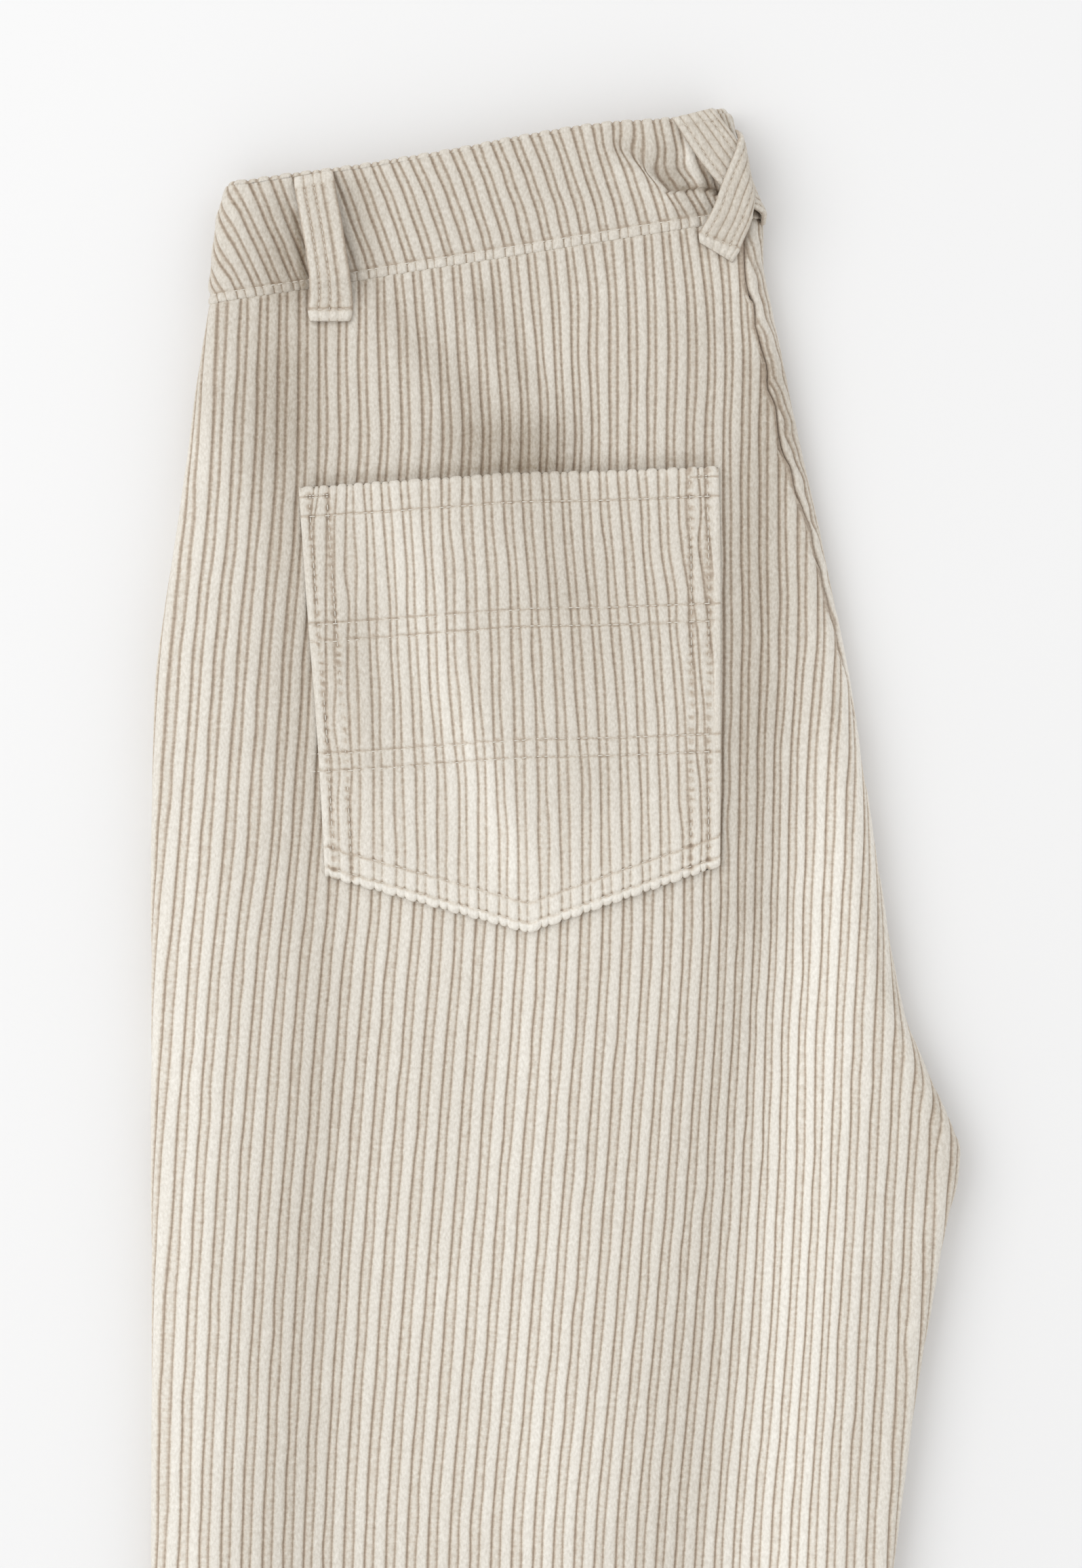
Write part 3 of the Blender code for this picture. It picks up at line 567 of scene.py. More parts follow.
def cloth(name, node, outer, inner, pile, step=(3, 6), face=1, painted_highlight=0.0, tone=None):
    """A thin shell of cloth between two grids of points, rows from the waist down.

    The back of the cloth keeps every few rows and columns only.
    """
    rows, columns = outer.shape[:2]
    r = np.unique(ordered(np.arange(0, rows - 1, step[0]), rows - 1).astype(int))
    c = np.unique(ordered(np.arange(0, columns - 1, step[1]), columns - 1).astype(int))
    back = inner[np.ix_(r, c)]
    points = np.concatenate([outer.reshape(-1, 3), back.reshape(-1, 3)])
    front_at = np.arange(rows * columns).reshape(rows, columns)
    back_at = rows * columns + np.arange(len(r) * len(c)).reshape(len(r), len(c))

    keys = np.round(points * WELD).astype(np.int64)
    _, first, same = np.unique(keys, axis=0, return_index=True, return_inverse=True)
    same = same.ravel()
    front_at, back_at = same[front_at], same[back_at]

    def squares(at, flip):
        corners = (at[:-1, :-1], at[1:, :-1], at[1:, 1:], at[:-1, 1:])
        corners = corners[::-1] if flip else corners
        return np.stack([corner.ravel() for corner in corners], axis=1)

    wide_faces = np.concatenate([squares(front_at, face < 0), squares(back_at, face > 0)])

    rims = []
    for at, front, rear, onward in (
        (c, front_at[0], back_at[0], 1), (c, front_at[-1], back_at[-1], -1),
        (r, front_at[:, 0], back_at[:, 0], -1), (r, front_at[:, -1], back_at[:, -1], 1),
    ):
        for i, (a, b) in enumerate(zip(at, at[1:])):
            rims.append([*front[a : b + 1][::onward], *rear[i : i + 2][::-onward]])
    if face < 0:
        rims = [rim[::-1] for rim in rims]

    faces = []
    for corners in [*wide_faces.tolist(), *rims]:
        kept = [v for v, w in zip(corners, [*corners[1:], corners[0]]) if v != w]
        if len(kept) > 2 and len(set(kept)) == len(kept):
            faces.append(kept)
    piece = built(name, points[first], faces, FACE)

    def on_both(values, at_back):
        values = np.broadcast_to(values, (rows, columns)).ravel()
        return np.concatenate([values, np.full(back.size // 3, at_back)])[first]

    all_pile = rounder(np.clip(on_both(pile, BACK_PILE), 0, 1.2), points[first, 1])
    # The tone attribute carries the painted shade and light of the tone table, or the given tone,
    # plus the painted highlights.
    all_tone = (tone_with_painted_light(*points[first].T[:2]) if tone is None else tone) + on_both(painted_highlight, 0.0)
    for label, values in (("pile", all_pile), ("tone", all_tone)):
        layer = piece.data.attributes.new(label, "FLOAT", "POINT")
        layer.data.foreach_set("value", np.asarray(values, np.float32))
    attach(piece, "root")
    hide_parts(node)
    return piece


STITCH, STITCH_GAP, THREAD = 2.2, 0.6, 0.24
# One stitch from end to end: share of the way, thickness, and how far up it lies, in radii.
STITCH_RINGS = (
    (0, 0.35, -0.35), (0.175, 0.95, 0.0), (0.5, 1.0, 0.12), (0.825, 0.95, 0.0), (1, 0.35, -0.35),
)
STITCH_SIDES = 6


def sew(name, lines, length=STITCH, gap=STITCH_GAP, radius=THREAD):
    """Rows of thread stitches along lines of points, as one mesh of small rounded bars."""
    ends = []
    for line in lines:
        along = distances(np.linalg.norm(np.diff(line, axis=0), axis=1))
        starts = np.arange(gap, along[-1] - length, length + gap)
        for share in (0, 0.5, 1):
            at = starts + share * length
            ends.append(np.stack([np.interp(at, along, line[:, k]) for k in range(3)], axis=1))
    a, m, b = (np.concatenate(ends[k::3]) for k in range(3))
    m[:, 2] = np.maximum(m, (a + b) / 2)[:, 2]
    run = (b - a) / np.linalg.norm(b - a, axis=1)[:, None]
    across = np.cross(run, [0, 0, 1.0])
    across /= np.linalg.norm(across, axis=1)[:, None]
    up = np.cross(across, run)
    points = []
    for share, thick, lift in STITCH_RINGS:
        centre = mix(a, m, 2 * share) if share < 0.5 else mix(b, m, 2 - 2 * share)
        for i in range(STITCH_SIDES):
            angle = 2 * math.pi * i / STITCH_SIDES
            off = radius * thick * (math.cos(angle) * across + math.sin(angle) * up)
            points.append(centre + off + up * radius * lift)
    points = np.stack(points, axis=1)
    one = points.shape[1]
    faces = [tuple(range(STITCH_SIDES)), tuple(range(one - 1, one - 1 - STITCH_SIDES, -1))]
    for i in range(0, one - STITCH_SIDES, STITCH_SIDES):
        for j in range(STITCH_SIDES):
            k = (j + 1) % STITCH_SIDES
            faces.append((i + j, i + STITCH_SIDES + j, i + STITCH_SIDES + k, i + k))
    every = [[v + one * number for v in face] for number in range(len(points)) for face in faces]
    piece = built(name, points.reshape(-1, 3), every, THREAD_FINISH)
    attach(piece, "root")
    return piece


ROW_TURN = 100  # how far round the edges a row of stitches goes, degrees


def row_across(layer, step, lift):
    """Points of one row of stitches over a layer from edge to edge."""
    ends = [layer.turned(side, ROW_TURN)[0, 0] for side in (-1, 1)]
    return layer.lay(np.arange(*ends, step)[None, :], lift)[0]


def mottled(name, colour, darkest, scale, sockets):
    """A plain finish with faint darker spots, such as spun thread or laid paper."""
    made, add, shader = new_finish(name)
    place = add("TexCoord").outputs["Object"]
    spots = add("TexNoise", {"Vector": place, "Scale": scale}).outputs["Fac"]
    ramp = add("ValToRGB", {"Fac": spots})
    for element, share in zip(ramp.color_ramp.elements, (darkest, 1)):
        element.color = (*(share * v for v in colour), 1)
    wire(shader, {**sockets, "Base Color": ramp.outputs["Color"]})
    return made


THREAD_FINISH = mottled(
    "sewing_thread", (0.80, 0.745, 0.655), 0.78, 2600.0, {"Roughness": 0.6, "Sheen Weight": 0.1}
)

# Rows of points down the leg, closest where the wales curve; then round the hem's folded edge.
leg_y = ordered(
    LEG_TOP - np.array([0, 0.3, 0.8, 1.5, 2.5, 3.9]),
    np.arange(461.5, 400, -2.4),
    np.arange(400, 205, -3.0),
    np.arange(205, 96, -2.6),
    np.arange(96, 0, -5.2),
    np.arange(0, -512, -21),
    (-515, -517, -518, -518.6, -519, -519.4, -520, -521, -524, -531, -538.7),
)
HEM_RADIUS = HEM_CLOTH / 2
leg_y, leg_turn = add_fold(leg_y, HEM_FOOT)
leg_top = Layer(leg_y, leg_slant(leg_y))
wale_n, wale_h = wale_numbers(*LEG_WALES)
lines = leg_wales(leg_top, wale_n)
lines = lines + waver(11, distances(np.diff(leg_y)), wale_n, 13.0, 0.16)
low = leg_top.turned(-1, OUTSEAM_TURN)
high = leg_top.turned(1, seat_seam(leg_top.right_y)) - SEAM_GAP / 2
u, rise = ribs(lines, wale_h, low, high)

SEAM_HOLLOW = 1.3  # half width of the hollow along a seam or a row of stitches
INNER_SINK, OUTER_SINK, HEM_SINK, TOP_SINK = 0.75, 0.5, 0.35, 0.15  # how deep each hollow is
stitched = hump(leg_top.left_y - HEM_STITCH, SEAM_HOLLOW)
from_seam = LEG_TOP - leg_top.left_y
relief = mix(0.5, 1.0, eased(-0.2, 1.1, from_seam) ** 0.7) * (1 - 0.5 * stitched)
crease = -INNER_SINK * hump(high - u, SEAM_HOLLOW) - OUTER_SINK * hump(u - low, SEAM_HOLLOW)
crease = crease - HEM_SINK * stitched - TOP_SINK * (1 - eased(-0.2, 0.9, from_seam))


def leg_cloth(layer):
    """The hem is two plies thick."""
    return np.where(layer.left_y < HEM_TOP, HEM_CLOTH, CLOTH)


lift = rise * relief + crease
outer, inner = both_faces(leg_top, u, lift, leg_cloth(leg_top), leg_turn, HEM_RADIUS, -1)
pile = mix(rise * mix(0.75, 1, relief) / WIDE_RISE, 0.95, 0.5 * eased(1.4, 0, from_seam))
# Painted shade darkens the pile in the crease of the seat seam.
pile = pile * (1 - 0.8 * hump(high - u, 1.1))
leg_back = cloth("leg_back", "back_leg_upper", outer, inner, pile)
hem_thread = sew("hem_stitches", [row_across(Layer([HEM_STITCH], [HEM_STITCH]), 1.0, 0.3)])

# ------------------------------------------------------------------ other leg's back at the fold
# The other leg's back panel, cut the mirror way.  It shows as a strip that comes round the fold
# of the seat and is joined to the upper back in the seat seam, so its wales run aslant.
FOLD_TURN = 148
FOLD_CLOSED = 300  # from here up it goes the whole way round the fold
OPEN_SHARE = 0.35  # and at the fork only this share of the way
SEAT_LEAN = -0.33
WALE_PITCH = 7.7
STRIP_FROM = (100, 400)  # one of its grooves runs through here
STRIP_LINES = 52  # lines of points across it


def strip_end(y, seam):
    """How far round the fold the strip goes from the seam, degrees."""
    closing = between(FORK_HEAD, FOLD_CLOSED, y)
    return mix(seam, FOLD_TURN, OPEN_SHARE + (1 - OPEN_SHARE) * closing)


fold_y = np.arange(LEG_TOP, FORK_HEAD, -1.15)
fold = Layer(fold_y, leg_slant(fold_y))
seam = seat_seam(fold.right_y)
low = fold.turned(1, seam) + SEAM_GAP / 2
u = mix(low, fold.turned(1, strip_end(fold.right_y, seam)), np.linspace(0, 1, STRIP_LINES))
number = (u - STRIP_FROM[0] - SEAT_LEAN * (fold.right_y - STRIP_FROM[1])) / WALE_PITCH
number = number + 0.09 * np.sin(fold.right_y / 3.4 + u / 5) + 0.05 * np.sin(fold.right_y / 1.7)
rise = np.interp(number, WALE_PLACES, WALE_RISES, period=1) * eased(-0.1, 1.1, u - low)
outer, inner = fold.lay(u, rise - hump(u - low, 1.2)), fold.lay(u, -CLOTH)
seat_strip = cloth("other_back_at_fold", "back_leg_under", outer, inner, rise / WIDE_RISE, (6, 8))

# ------------------------------------------------------------------ hidden layers
# Under the top panel lie the upper leg's front and the other leg's front and back, the same
# corduroy.  Their edges show from the side as two soft rolls, one leg's on the other's.
PLAIN_SAMPLES = (0, 2, 4, 6, 8, 10, 11)  # lines of a repeat that the hidden panels keep
PLAIN_EDGE = (0.0, 0.4, 1.0)
PRESSED = 0.12  # what is left of a wale's height where layer lies on layer
hidden_y, hidden_turn = add_fold(ordered(
    (467.5, 466.5, 464),
    np.arange(455, 400, -12),
    np.arange(396, 215, -15),
    np.arange(210, 120, -7.5),
    np.arange(115, -500, -27),
    (-515, -519, -523, -532, -538.8),
), HEM_FOOT)


def plain_wales(numbers, rises):
    """The same wales with fewer lines."""
    repeats = np.arange(0, len(numbers), len(WALE))[:, None]
    some = (repeats + PLAIN_SAMPLES).ravel()
    return numbers[some], rises[some]


def hidden_ends(layer, kind):
    """The outseam, and the inseam or, above the fork, the layer's end in the fold of the seat."""
    if kind == "bottom":
        round_seat = 180 - strip_end(layer.right_y, seam_turn(layer.right_y))
        high = layer.turned(1, mix(round_seat, OUTSEAM_TURN, layer.apart)) - SEAM_GAP / 2
        return layer.turned(-1, OUTSEAM_TURN), high
    inseam = layer.turned(1, 180 - OUTSEAM_TURN) - SEAM_GAP / 2
    low = layer.turned(-1, 180 - OUTSEAM_TURN) + SEAM_GAP / 2
    return low, mix(layer.right - 5, inseam, layer.apart)


def hidden_panel(name, kind):
    """One hidden panel; its wales are pressed flatter where layer lies on layer."""
    layer = Layer(hidden_y, leg_slant(hidden_y), kind=kind)
    numbers, rises = plain_wales(wale_n, wale_h)
    low, high = hidden_ends(layer, kind)
    u, rise = ribs(leg_wales(layer, numbers), rises, low, high, PLAIN_EDGE)
    if kind != "bottom":
        inside = np.minimum(u - layer.left, layer.right - u)
        rise = rise * mix(1.0, PRESSED, eased(-6, 1, inside))
    lift = rise - OUTER_SINK * (hump(high - u, SEAM_HOLLOW) + hump(u - low, SEAM_HOLLOW))
    outer, inner = both_faces(layer, u, lift, leg_cloth(layer), hidden_turn, HEM_RADIUS, -1)
    panel = cloth(name, "folded_layers", outer, inner, rise / WIDE_RISE, (2, 4), layer.face)


hidden_panel("leg_front", "upper inside")
hidden_panel("other_leg_front", "lower inside")
hidden_panel("other_leg_back", "bottom")

# ------------------------------------------------------------------ waistband
# Two plies of the same corduroy, 44 mm deep, folded along the top edge, and sewn down along the
# lower edge with one row of stitches that draws the ends of the wales into small beads.
BAND_CLOTH, BAND_RISE = 2.4, 0.8  # both plies, and how far the band stands above the leg
BAND_TOP, BAND_FOOT = 513.0, 467.9  # y of both edges at the outseam
# A row's y at the outseam and at the fold.
BAND_SLANT = (
    (467.9, 499.9), (471.2, 503.2), (486, 516), (500, 528), (510.4, 537), (513, 539.6),
)
BEAD, BEAD_LEAN = 2.7, 0.12  # length of the beads, from the seam to the stitches, and their slant
BAND_HEIGHT = BAND_TOP - BAND_FOOT
# The grooves of every third wale at seven heights: share down from the top edge, then x.
BAND_LINES = (
    (0, -121.3, -97, -74.8, -53.8, -30.8, -9.2, 13.7, 36, 54.8, 71.7),
    (0.12, -119, -95.3, -73, -51.8, -29, -7.3, 14.8, 37, 56.3, 74),
    (0.3, -115.5, -92.8, -70.3, -48.8, -26.3, -4.5, 16.5, 38.5, 58.5, 77.5),
    (0.5, -112, -90, -67.8, -46, -23.8, -2, 18.8, 41.2, 61.2, 81.5),
    (0.7, -108.3, -87, -65, -43.3, -21.3, 0.8, 21.3, 43.3, 63.7, 84.5),
    (0.85, -105.5, -84.8, -62.8, -41.5, -19.5, 2.2, 22.7, 45.3, 65.8, 86.5),
    (1, -103, -82.8, -61, -39.8, -18, 3.5, 24.2, 47, 68, 88.5),
)
# Where the crossed loops draw the band in, its lower half bulges over a hollow: the crease's line.
TUCK = (
    (22, 523), (29, 521), (37, 514.5), (43, 508.6), (47, 508.6), (52, 510.0), (57.5, 509.6),
    (62, 507), (70, 505),
)
TUCK_HEIGHT, TUCK_WIDTH = 2.0, 6.0
TUCK_START = (12, 44)  # it sets in from x to x, and is sharper from x to x
TUCK_SOFT, TUCK_SHARP, TUCK_TURNS = 2.4, 0.8, (32, 46)
# How far the wales slip at the crease, bend above it and bow in the hollow, and between which x.
TUCK_SLIP, SLIP_START = 2.2, (38, 46)
TUCK_BEND, BEND_ENDS = 2.6, (14, 32, 40, 48)
HOLLOW_BOW, BOW_ENDS = 2.4, (33, 42, 50, 58)
HOLLOW_Y, HOLLOW_HALF = 518, 5
# How far the top edge wanders from a straight line: x, then the distance.
TOP_EDGE = (
    (-121, -0.6), (-114, -1.4), (-100, -1.2), (-70, -1.8), (-45, -1.3), (-30, -0.8), (-18, 0.0),
    (8, 0.75), (22, 0.4), (35, -0.9), (45, -1.5), (54, -0.8), (66, 0.0),
)
band_slant = smooth(BAND_SLANT, 1)
band_columns = columns_of(BAND_LINES)
BAND_RADIUS = BAND_CLOTH / 2
BAND_WALES = (-7, 32)  # first and last repeat


def line_y(line, x):
    return np.interp(x, [point[0] for point in line], [point[1] for point in line])


def tucked(above, x):
    """A fold of the band: the cloth stands proud below the crease and sinks above it."""
    fade = np.exp(-((np.abs(above) / TUCK_WIDTH) ** 1.6)) * eased(*TUCK_START, x)
    step = mix(TUCK_SOFT, TUCK_SHARP, eased(*TUCK_TURNS, x))
    return -TUCK_HEIGHT * np.tanh(above / step) * fade


def wander(points, row_y):
    """Moves the band's upper rows along with its top edge."""
    points[..., 1] += line_y(TOP_EDGE, points[..., 0]) * eased(BAND_FOOT + 8, BAND_TOP, row_y)
    return points


band_y, band_turn = add_fold(ordered(
    BAND_TOP - BAND_RADIUS - np.array([0.01, 0.5, 1.1, 1.9, 3.0]),
    np.arange(507.6, 473.6, -0.8),
    BAND_FOOT + np.array([5.4, 4.6, 4.1, 3.7, 3.4, 3.1, 2.9, 2.6, 2.3, 1.9, 1.4, 0.9, 0.5]),
    BAND_FOOT + np.array([0.25, 0.1, 0.0]),
), BAND_TOP, at_top=True)
band = Layer(band_y, band_slant(band_y), BAND_RISE)
band_n, band_h = wale_numbers(*BAND_WALES)
lines = spread(band_n, (BAND_TOP - band.left_y) / BAND_HEIGHT + 0 * band_n, band_columns, 0)
lines = lines + waver(12, distances(np.diff(band_y)), band_n, 9.0, 0.14)

# The wales bow and bend in the hollow, slip over the crease, and lean in the beads.
up_from_seam = band.left_y - BAND_FOOT
y = band.y_at(lines)
above = y - line_y(TUCK, lines)
bow = HOLLOW_BOW * hump(y - HOLLOW_Y, HOLLOW_HALF) * within(BOW_ENDS, lines)
bent = TUCK_BEND * hump(above - 3.2, 4.5) * within(BEND_ENDS, lines)
slip = TUCK_SLIP * eased(0.4, -0.4, above) * hump(above, 7) * eased(*SLIP_START, lines)
lean = BEAD_LEAN * np.clip(up_from_seam - BEAD / 2, -BEAD / 2, BEAD / 2)
lines = lines - bow - bent - slip + lean * eased(BEAD + 2.5, BEAD, up_from_seam)
low, high = band.turned(-1, OUTSEAM_TURN), band.turned(1, FOLD_TURN)
u, rise = ribs(lines, band_h, low, high)

bead = np.sin(math.pi * np.clip(up_from_seam / BEAD, 0.0, 1)) ** 0.5
over_beads = 0.45 + 0.55 * eased(BEAD, BEAD + 2.4, up_from_seam)
relief = np.where(up_from_seam < BEAD, 0.45 + 0.75 * bead, over_beads)
relief = relief * mix(0.4, 1.0, eased(-0.1, 0.4, up_from_seam))
above = band.y_at(u) - line_y(TUCK, u)
relief = relief * (1 - 0.8 * hump(above - 0.6, 1.0) * eased(38, 47, u))
dip = 0.15 * hump(up_from_seam - BEAD, 0.8) + 0.2 * eased(0.7, -0.1, up_from_seam)
dip = dip + 0.5 * eased(7.0, 2.5, up_from_seam)
lift = rise * relief - dip + tucked(above, u)
outer, inner = both_faces(band, u, lift, BAND_CLOTH, band_turn, BAND_RADIUS, 1)
outer, inner = wander(outer, band.left_y), wander(inner, band.left_y)
round_tops = hump(above + 0.7, 1.1) * eased(38, 44, u)  # of the wales just under the crease
outer[..., 1] += 1.3 * (rise / WIDE_RISE - 0.45) * round_tops
outer[..., 1] -= (0.35 + 0.35 * rise / WIDE_RISE) * eased(2.0, 0.0, up_from_seam)

# Painted highlights: the beads get paler pile and a lighter tone. Painted shade darkens the pile in
# the dip just above them.
near_seam = eased(BEAD + 0.6, BEAD - 0.6, up_from_seam)
pile = mix(rise * mix(0.8, 1.05, relief) / WIDE_RISE, 1.15 * np.sqrt(rise / WIDE_RISE), near_seam)
pile = pile * (1 - 0.2 * hump(up_from_seam - BEAD - 0.4, 0.6))
painted_highlight = 0.03 * near_seam * rise / WIDE_RISE
waist = cloth("waist_facing", "waistband", outer, inner, pile, painted_highlight=painted_highlight)
stitch_y = BAND_FOOT + BEAD
stitch_row = Layer([stitch_y], [band_slant(stitch_y)], BAND_RISE)
waist_thread = sew("waist_stitches", [row_across(stitch_row, 0.8, -0.3)])

# ------------------------------------------------------------------ hidden part of the waistband
# The rest of the band goes round inside the fold: the fronts' halves, and the other back half
# against the floor.
inner_y, inner_turn = add_fold(ordered(
    BAND_TOP - BAND_RADIUS - 0.01,
    (509, 503, 495, 487, 479, 473, 470.9, 469.4, BAND_FOOT),
), BAND_TOP, at_top=True)


def hidden_band(name, kind):
    layer = Layer(inner_y, band_slant(inner_y), kind=kind)
    numbers, rises = plain_wales(band_n, band_h)
    share = (BAND_TOP - layer.left_y) / BAND_HEIGHT
    lines = spread(numbers, share + 0 * numbers, band_columns, 0)
    u, rise = ribs(lines, rises, *hidden_ends(layer, kind), PLAIN_EDGE)
    if kind != "bottom":
        rise = rise * 0.5
    outer, inner = both_faces(layer, u, rise, BAND_CLOTH, inner_turn, BAND_RADIUS, 1)
    outer, inner = wander(outer, layer.left_y), wander(inner, layer.left_y)
    panel = cloth(name, "folded_layers", outer, inner, rise / WIDE_RISE, face=layer.face)


hidden_band("front_band", "upper inside")
hidden_band("other_front_band", "lower inside")
hidden_band("other_back_band", "bottom")

# ------------------------------------------------------------------ back pocket
# A five-sided patch of the same corduroy, its edges turned under.  The turned hem of its mouth
# is sewn with one row, its sides and foot are sewn down with two, and two pairs of rows cross
# it from side to side.
# Its sides: share of the way up, then x of both edges.  Its foot and mouth: x, y.
POCKET_SIDES = ((0.0, -84.8, 60.8), (0.35, -87.6, 61.0), (0.7, -91.4, 61.0), (1.0, -94.4, 60.2))
POCKET_FOOT = ((-84.8, 256.7), (-10.0, 235.9), (60.8, 260.6))
POCKET_MOUTH = (
    (-94.4, 399.2), (-58.5, 401.5), (-17.0, 404.6), (21, 405.3), (60.2, 407.0),
)
POCKET_LIFT = WIDE_RISE + 0.8
MOUTH_OPEN = 2.0  # how far the middle of the mouth stands open
# The grooves of every third wale: y, then x.
POCKET_LINES = (
    (235, -104.5, -82.5, -58.5, -35.3, -13.2, 10.4, 32.5, 54.3, 75.6),
    (264.5, -105, -83, -58.5, -35.5, -13.5, 10, 32, 53.5, 75),
    (287, -105, -82.7, -59, -35.5, -14.2, 9.7, 31.5, 53.2, 74.8),
    (312, -106, -84, -59.2, -37.5, -15, 8.7, 30.5, 52, 73.5),
    (337, -107, -84.2, -60.2, -39.5, -15.7, 7, 29, 50.2, 72),
    (362, -106.5, -84.2, -61.2, -40.2, -16.5, 5, 26.5, 48.2, 70),
    (384.5, -104.5, -83.5, -62.7, -41.5, -18.2, 3, 24.7, 46, 67.5),
    (399.5, -102.5, -83, -64, -42, -19, 2.2, 23.5, 45.5, 67),
    (408, -102, -82.7, -64.5, -42.2, -19.4, 1.8, 23, 45.2, 66.7),
)
MOUTH_ROW = 10.6  # below the mouth
LEFT_ROWS, RIGHT_ROWS = (3.6, 10.2), (4.4, 10.9)  # in from the sides
FOOT_ROWS = (3.3, 10.9)  # above the foot
CROSS_ROWS = (50.0, 56.5, 98.0, 104.5)  # plain pairs of rows from side to side, below the mouth
TACK, TACK_REACH = 3.4, 10.4  # bar tacks at the mouth's corners: how far below it, and how far in

pocket_left, pocket_right = columns_of(POCKET_SIDES)
pocket_columns = columns_of(POCKET_LINES)
POCKET_WALES = (-4, 25)
POCKET_EDGE = (0.0, 0.12, 0.4, 0.9, 1.6)
POCKET_DEEP = 150.0
CROSS_DEEP = 155.0  # the same, where the cross rows lie
ROW_GRID = 0.3  # least distance between rows of points
THREAD_LIFT = 0.35  # of the rows that cross the wales
# x at the ends of the rows that cross the pocket, of the foot's rows and of the bar tacks.
CROSS_ENDS, FOOT_ENDS = (-91.0, 58.3), (-84, 60)
TACK_ENDS = ((-93.4, -93.4 + TACK_REACH), (60.2 - TACK_REACH, 59.4))
TACK_STITCH = (1.0, 0.25)  # length and gap


def beside(centres, offsets):
    """Places at every offset from every centre."""
    return np.add.outer(centres, offsets).ravel()


# Rows of points, closest along the stitches and both ends, as shares of the way up.
near = np.array([-1.9, -1.2, -0.7, -0.35, 0, 0.35, 0.7, 1.2, 1.9]) / POCKET_DEEP
end_rows = np.array([0.3, 0.7, 1.1, 1.6]) / POCKET_DEEP
pocket_share = ordered(
    np.linspace(0, 1, 130),
    beside([1 - row / CROSS_DEEP for row in CROSS_ROWS], near * 3),
    beside([row / POCKET_DEEP for row in FOOT_ROWS], near),
    beside([1 - row / POCKET_DEEP for row in (TACK, MOUTH_ROW)], near),
    end_rows,
    1 - end_rows,
)
pocket_share = np.round(np.clip(pocket_share, 0, 1) * POCKET_DEEP / ROW_GRID)
pocket_share = np.unique(pocket_share)[::-1] * ROW_GRID / POCKET_DEEP
pocket_share = np.clip(pocket_share, 0, 1)[:, None]


class Pocket:
    """Rows across the pocket, each a share of the way from its foot to its mouth."""

    def __init__(self, share):
        self.share = share
        self.low, self.high = pocket_left(share), pocket_right(share)

    def across(self, x):
        return between(self.low, self.high, x)

    def y_at(self, x):
        across = self.across(x)
        foot = line_y(POCKET_FOOT, mix(POCKET_FOOT[0][0], POCKET_FOOT[-1][0], across))
        mouth = line_y(POCKET_MOUTH, mix(POCKET_MOUTH[0][0], POCKET_MOUTH[-1][0], across))
        return mix(foot, mouth, self.share)

    def lay(self, x, lift):
        y = self.y_at(x)
        opened = MOUTH_OPEN * between(0.8, 1.0, self.share) * np.sin(math.pi * self.across(x))
        z = drape(x, y) + POCKET_LIFT + CLOTH + opened + lift
        return np.stack(np.broadcast_arrays(x + 0 * y, y, z), axis=-1)

    def rows(self, x):
        """Distances from the rows across the wales, along the sides, and along the foot."""
        y, left, right = self.y_at(x), x - self.low, self.high - x
        up, down = y - line_y(POCKET_FOOT, x), line_y(POCKET_MOUTH, x) - y
        beyond = np.maximum(np.minimum(left, right) - TACK_REACH, 0)
        across = [down - row for row in (MOUTH_ROW, *CROSS_ROWS)] + [np.hypot(down - TACK, beyond)]
        along = [left - row for row in LEFT_ROWS] + [right - row for row in RIGHT_ROWS]
        return across, along, [up - row for row in FOOT_ROWS]


def nearest(rows, wide):
    """1 on the nearest row, 0 away from it; wide is the half width."""
    return np.max([hump(row, wide) for row in rows], axis=0)


pocket = Pocket(pocket_share)
pocket_n, pocket_h = wale_numbers(*POCKET_WALES)
y = pocket.y_at(0 * pocket_n)
for _ in range(4):
    lines = spread(pocket_n, y, pocket_columns, FIRST_LINE)
    y = pocket.y_at(lines)
down = distances(np.diff(pocket_share[:, 0])) * POCKET_DEEP
near_side = eased(26, 8, np.minimum(lines - pocket.low, pocket.high - lines))
lines = lines + waver(13, down, pocket_n, 15.0, 0.2) * (1 + 1.2 * near_side)
u, rise = ribs(lines, pocket_h, pocket.low, pocket.high, POCKET_EDGE)
crown = rise / WIDE_RISE
inset = np.minimum(u - pocket.low, pocket.high - u)
from_foot, from_mouth = pocket.share * POCKET_DEEP, (1 - pocket.share) * POCKET_DEEP
from_end = np.minimum(from_foot, from_mouth)

# The turned edges are rounded, and swell into a cord outside the first row of stitches.
EDGE_ROUND, EDGE_DROP = 1.6, 1.25
round_off = np.minimum(np.minimum(inset, from_end), EDGE_ROUND) / EDGE_ROUND
edge_drop = EDGE_DROP * (1 - np.sqrt(np.maximum(1 - (1 - round_off) ** 2, 0)))
side_cord = eased(3.4, 2.2, inset) * eased(0.5, 3.5, from_end)
foot_cord = np.sin(math.pi * between(0, FOOT_ROWS[0], from_foot)) ** 0.6
first, second = FOOT_ROWS
border = within((first, first + 1.5, second - 1.5, second), from_foot)

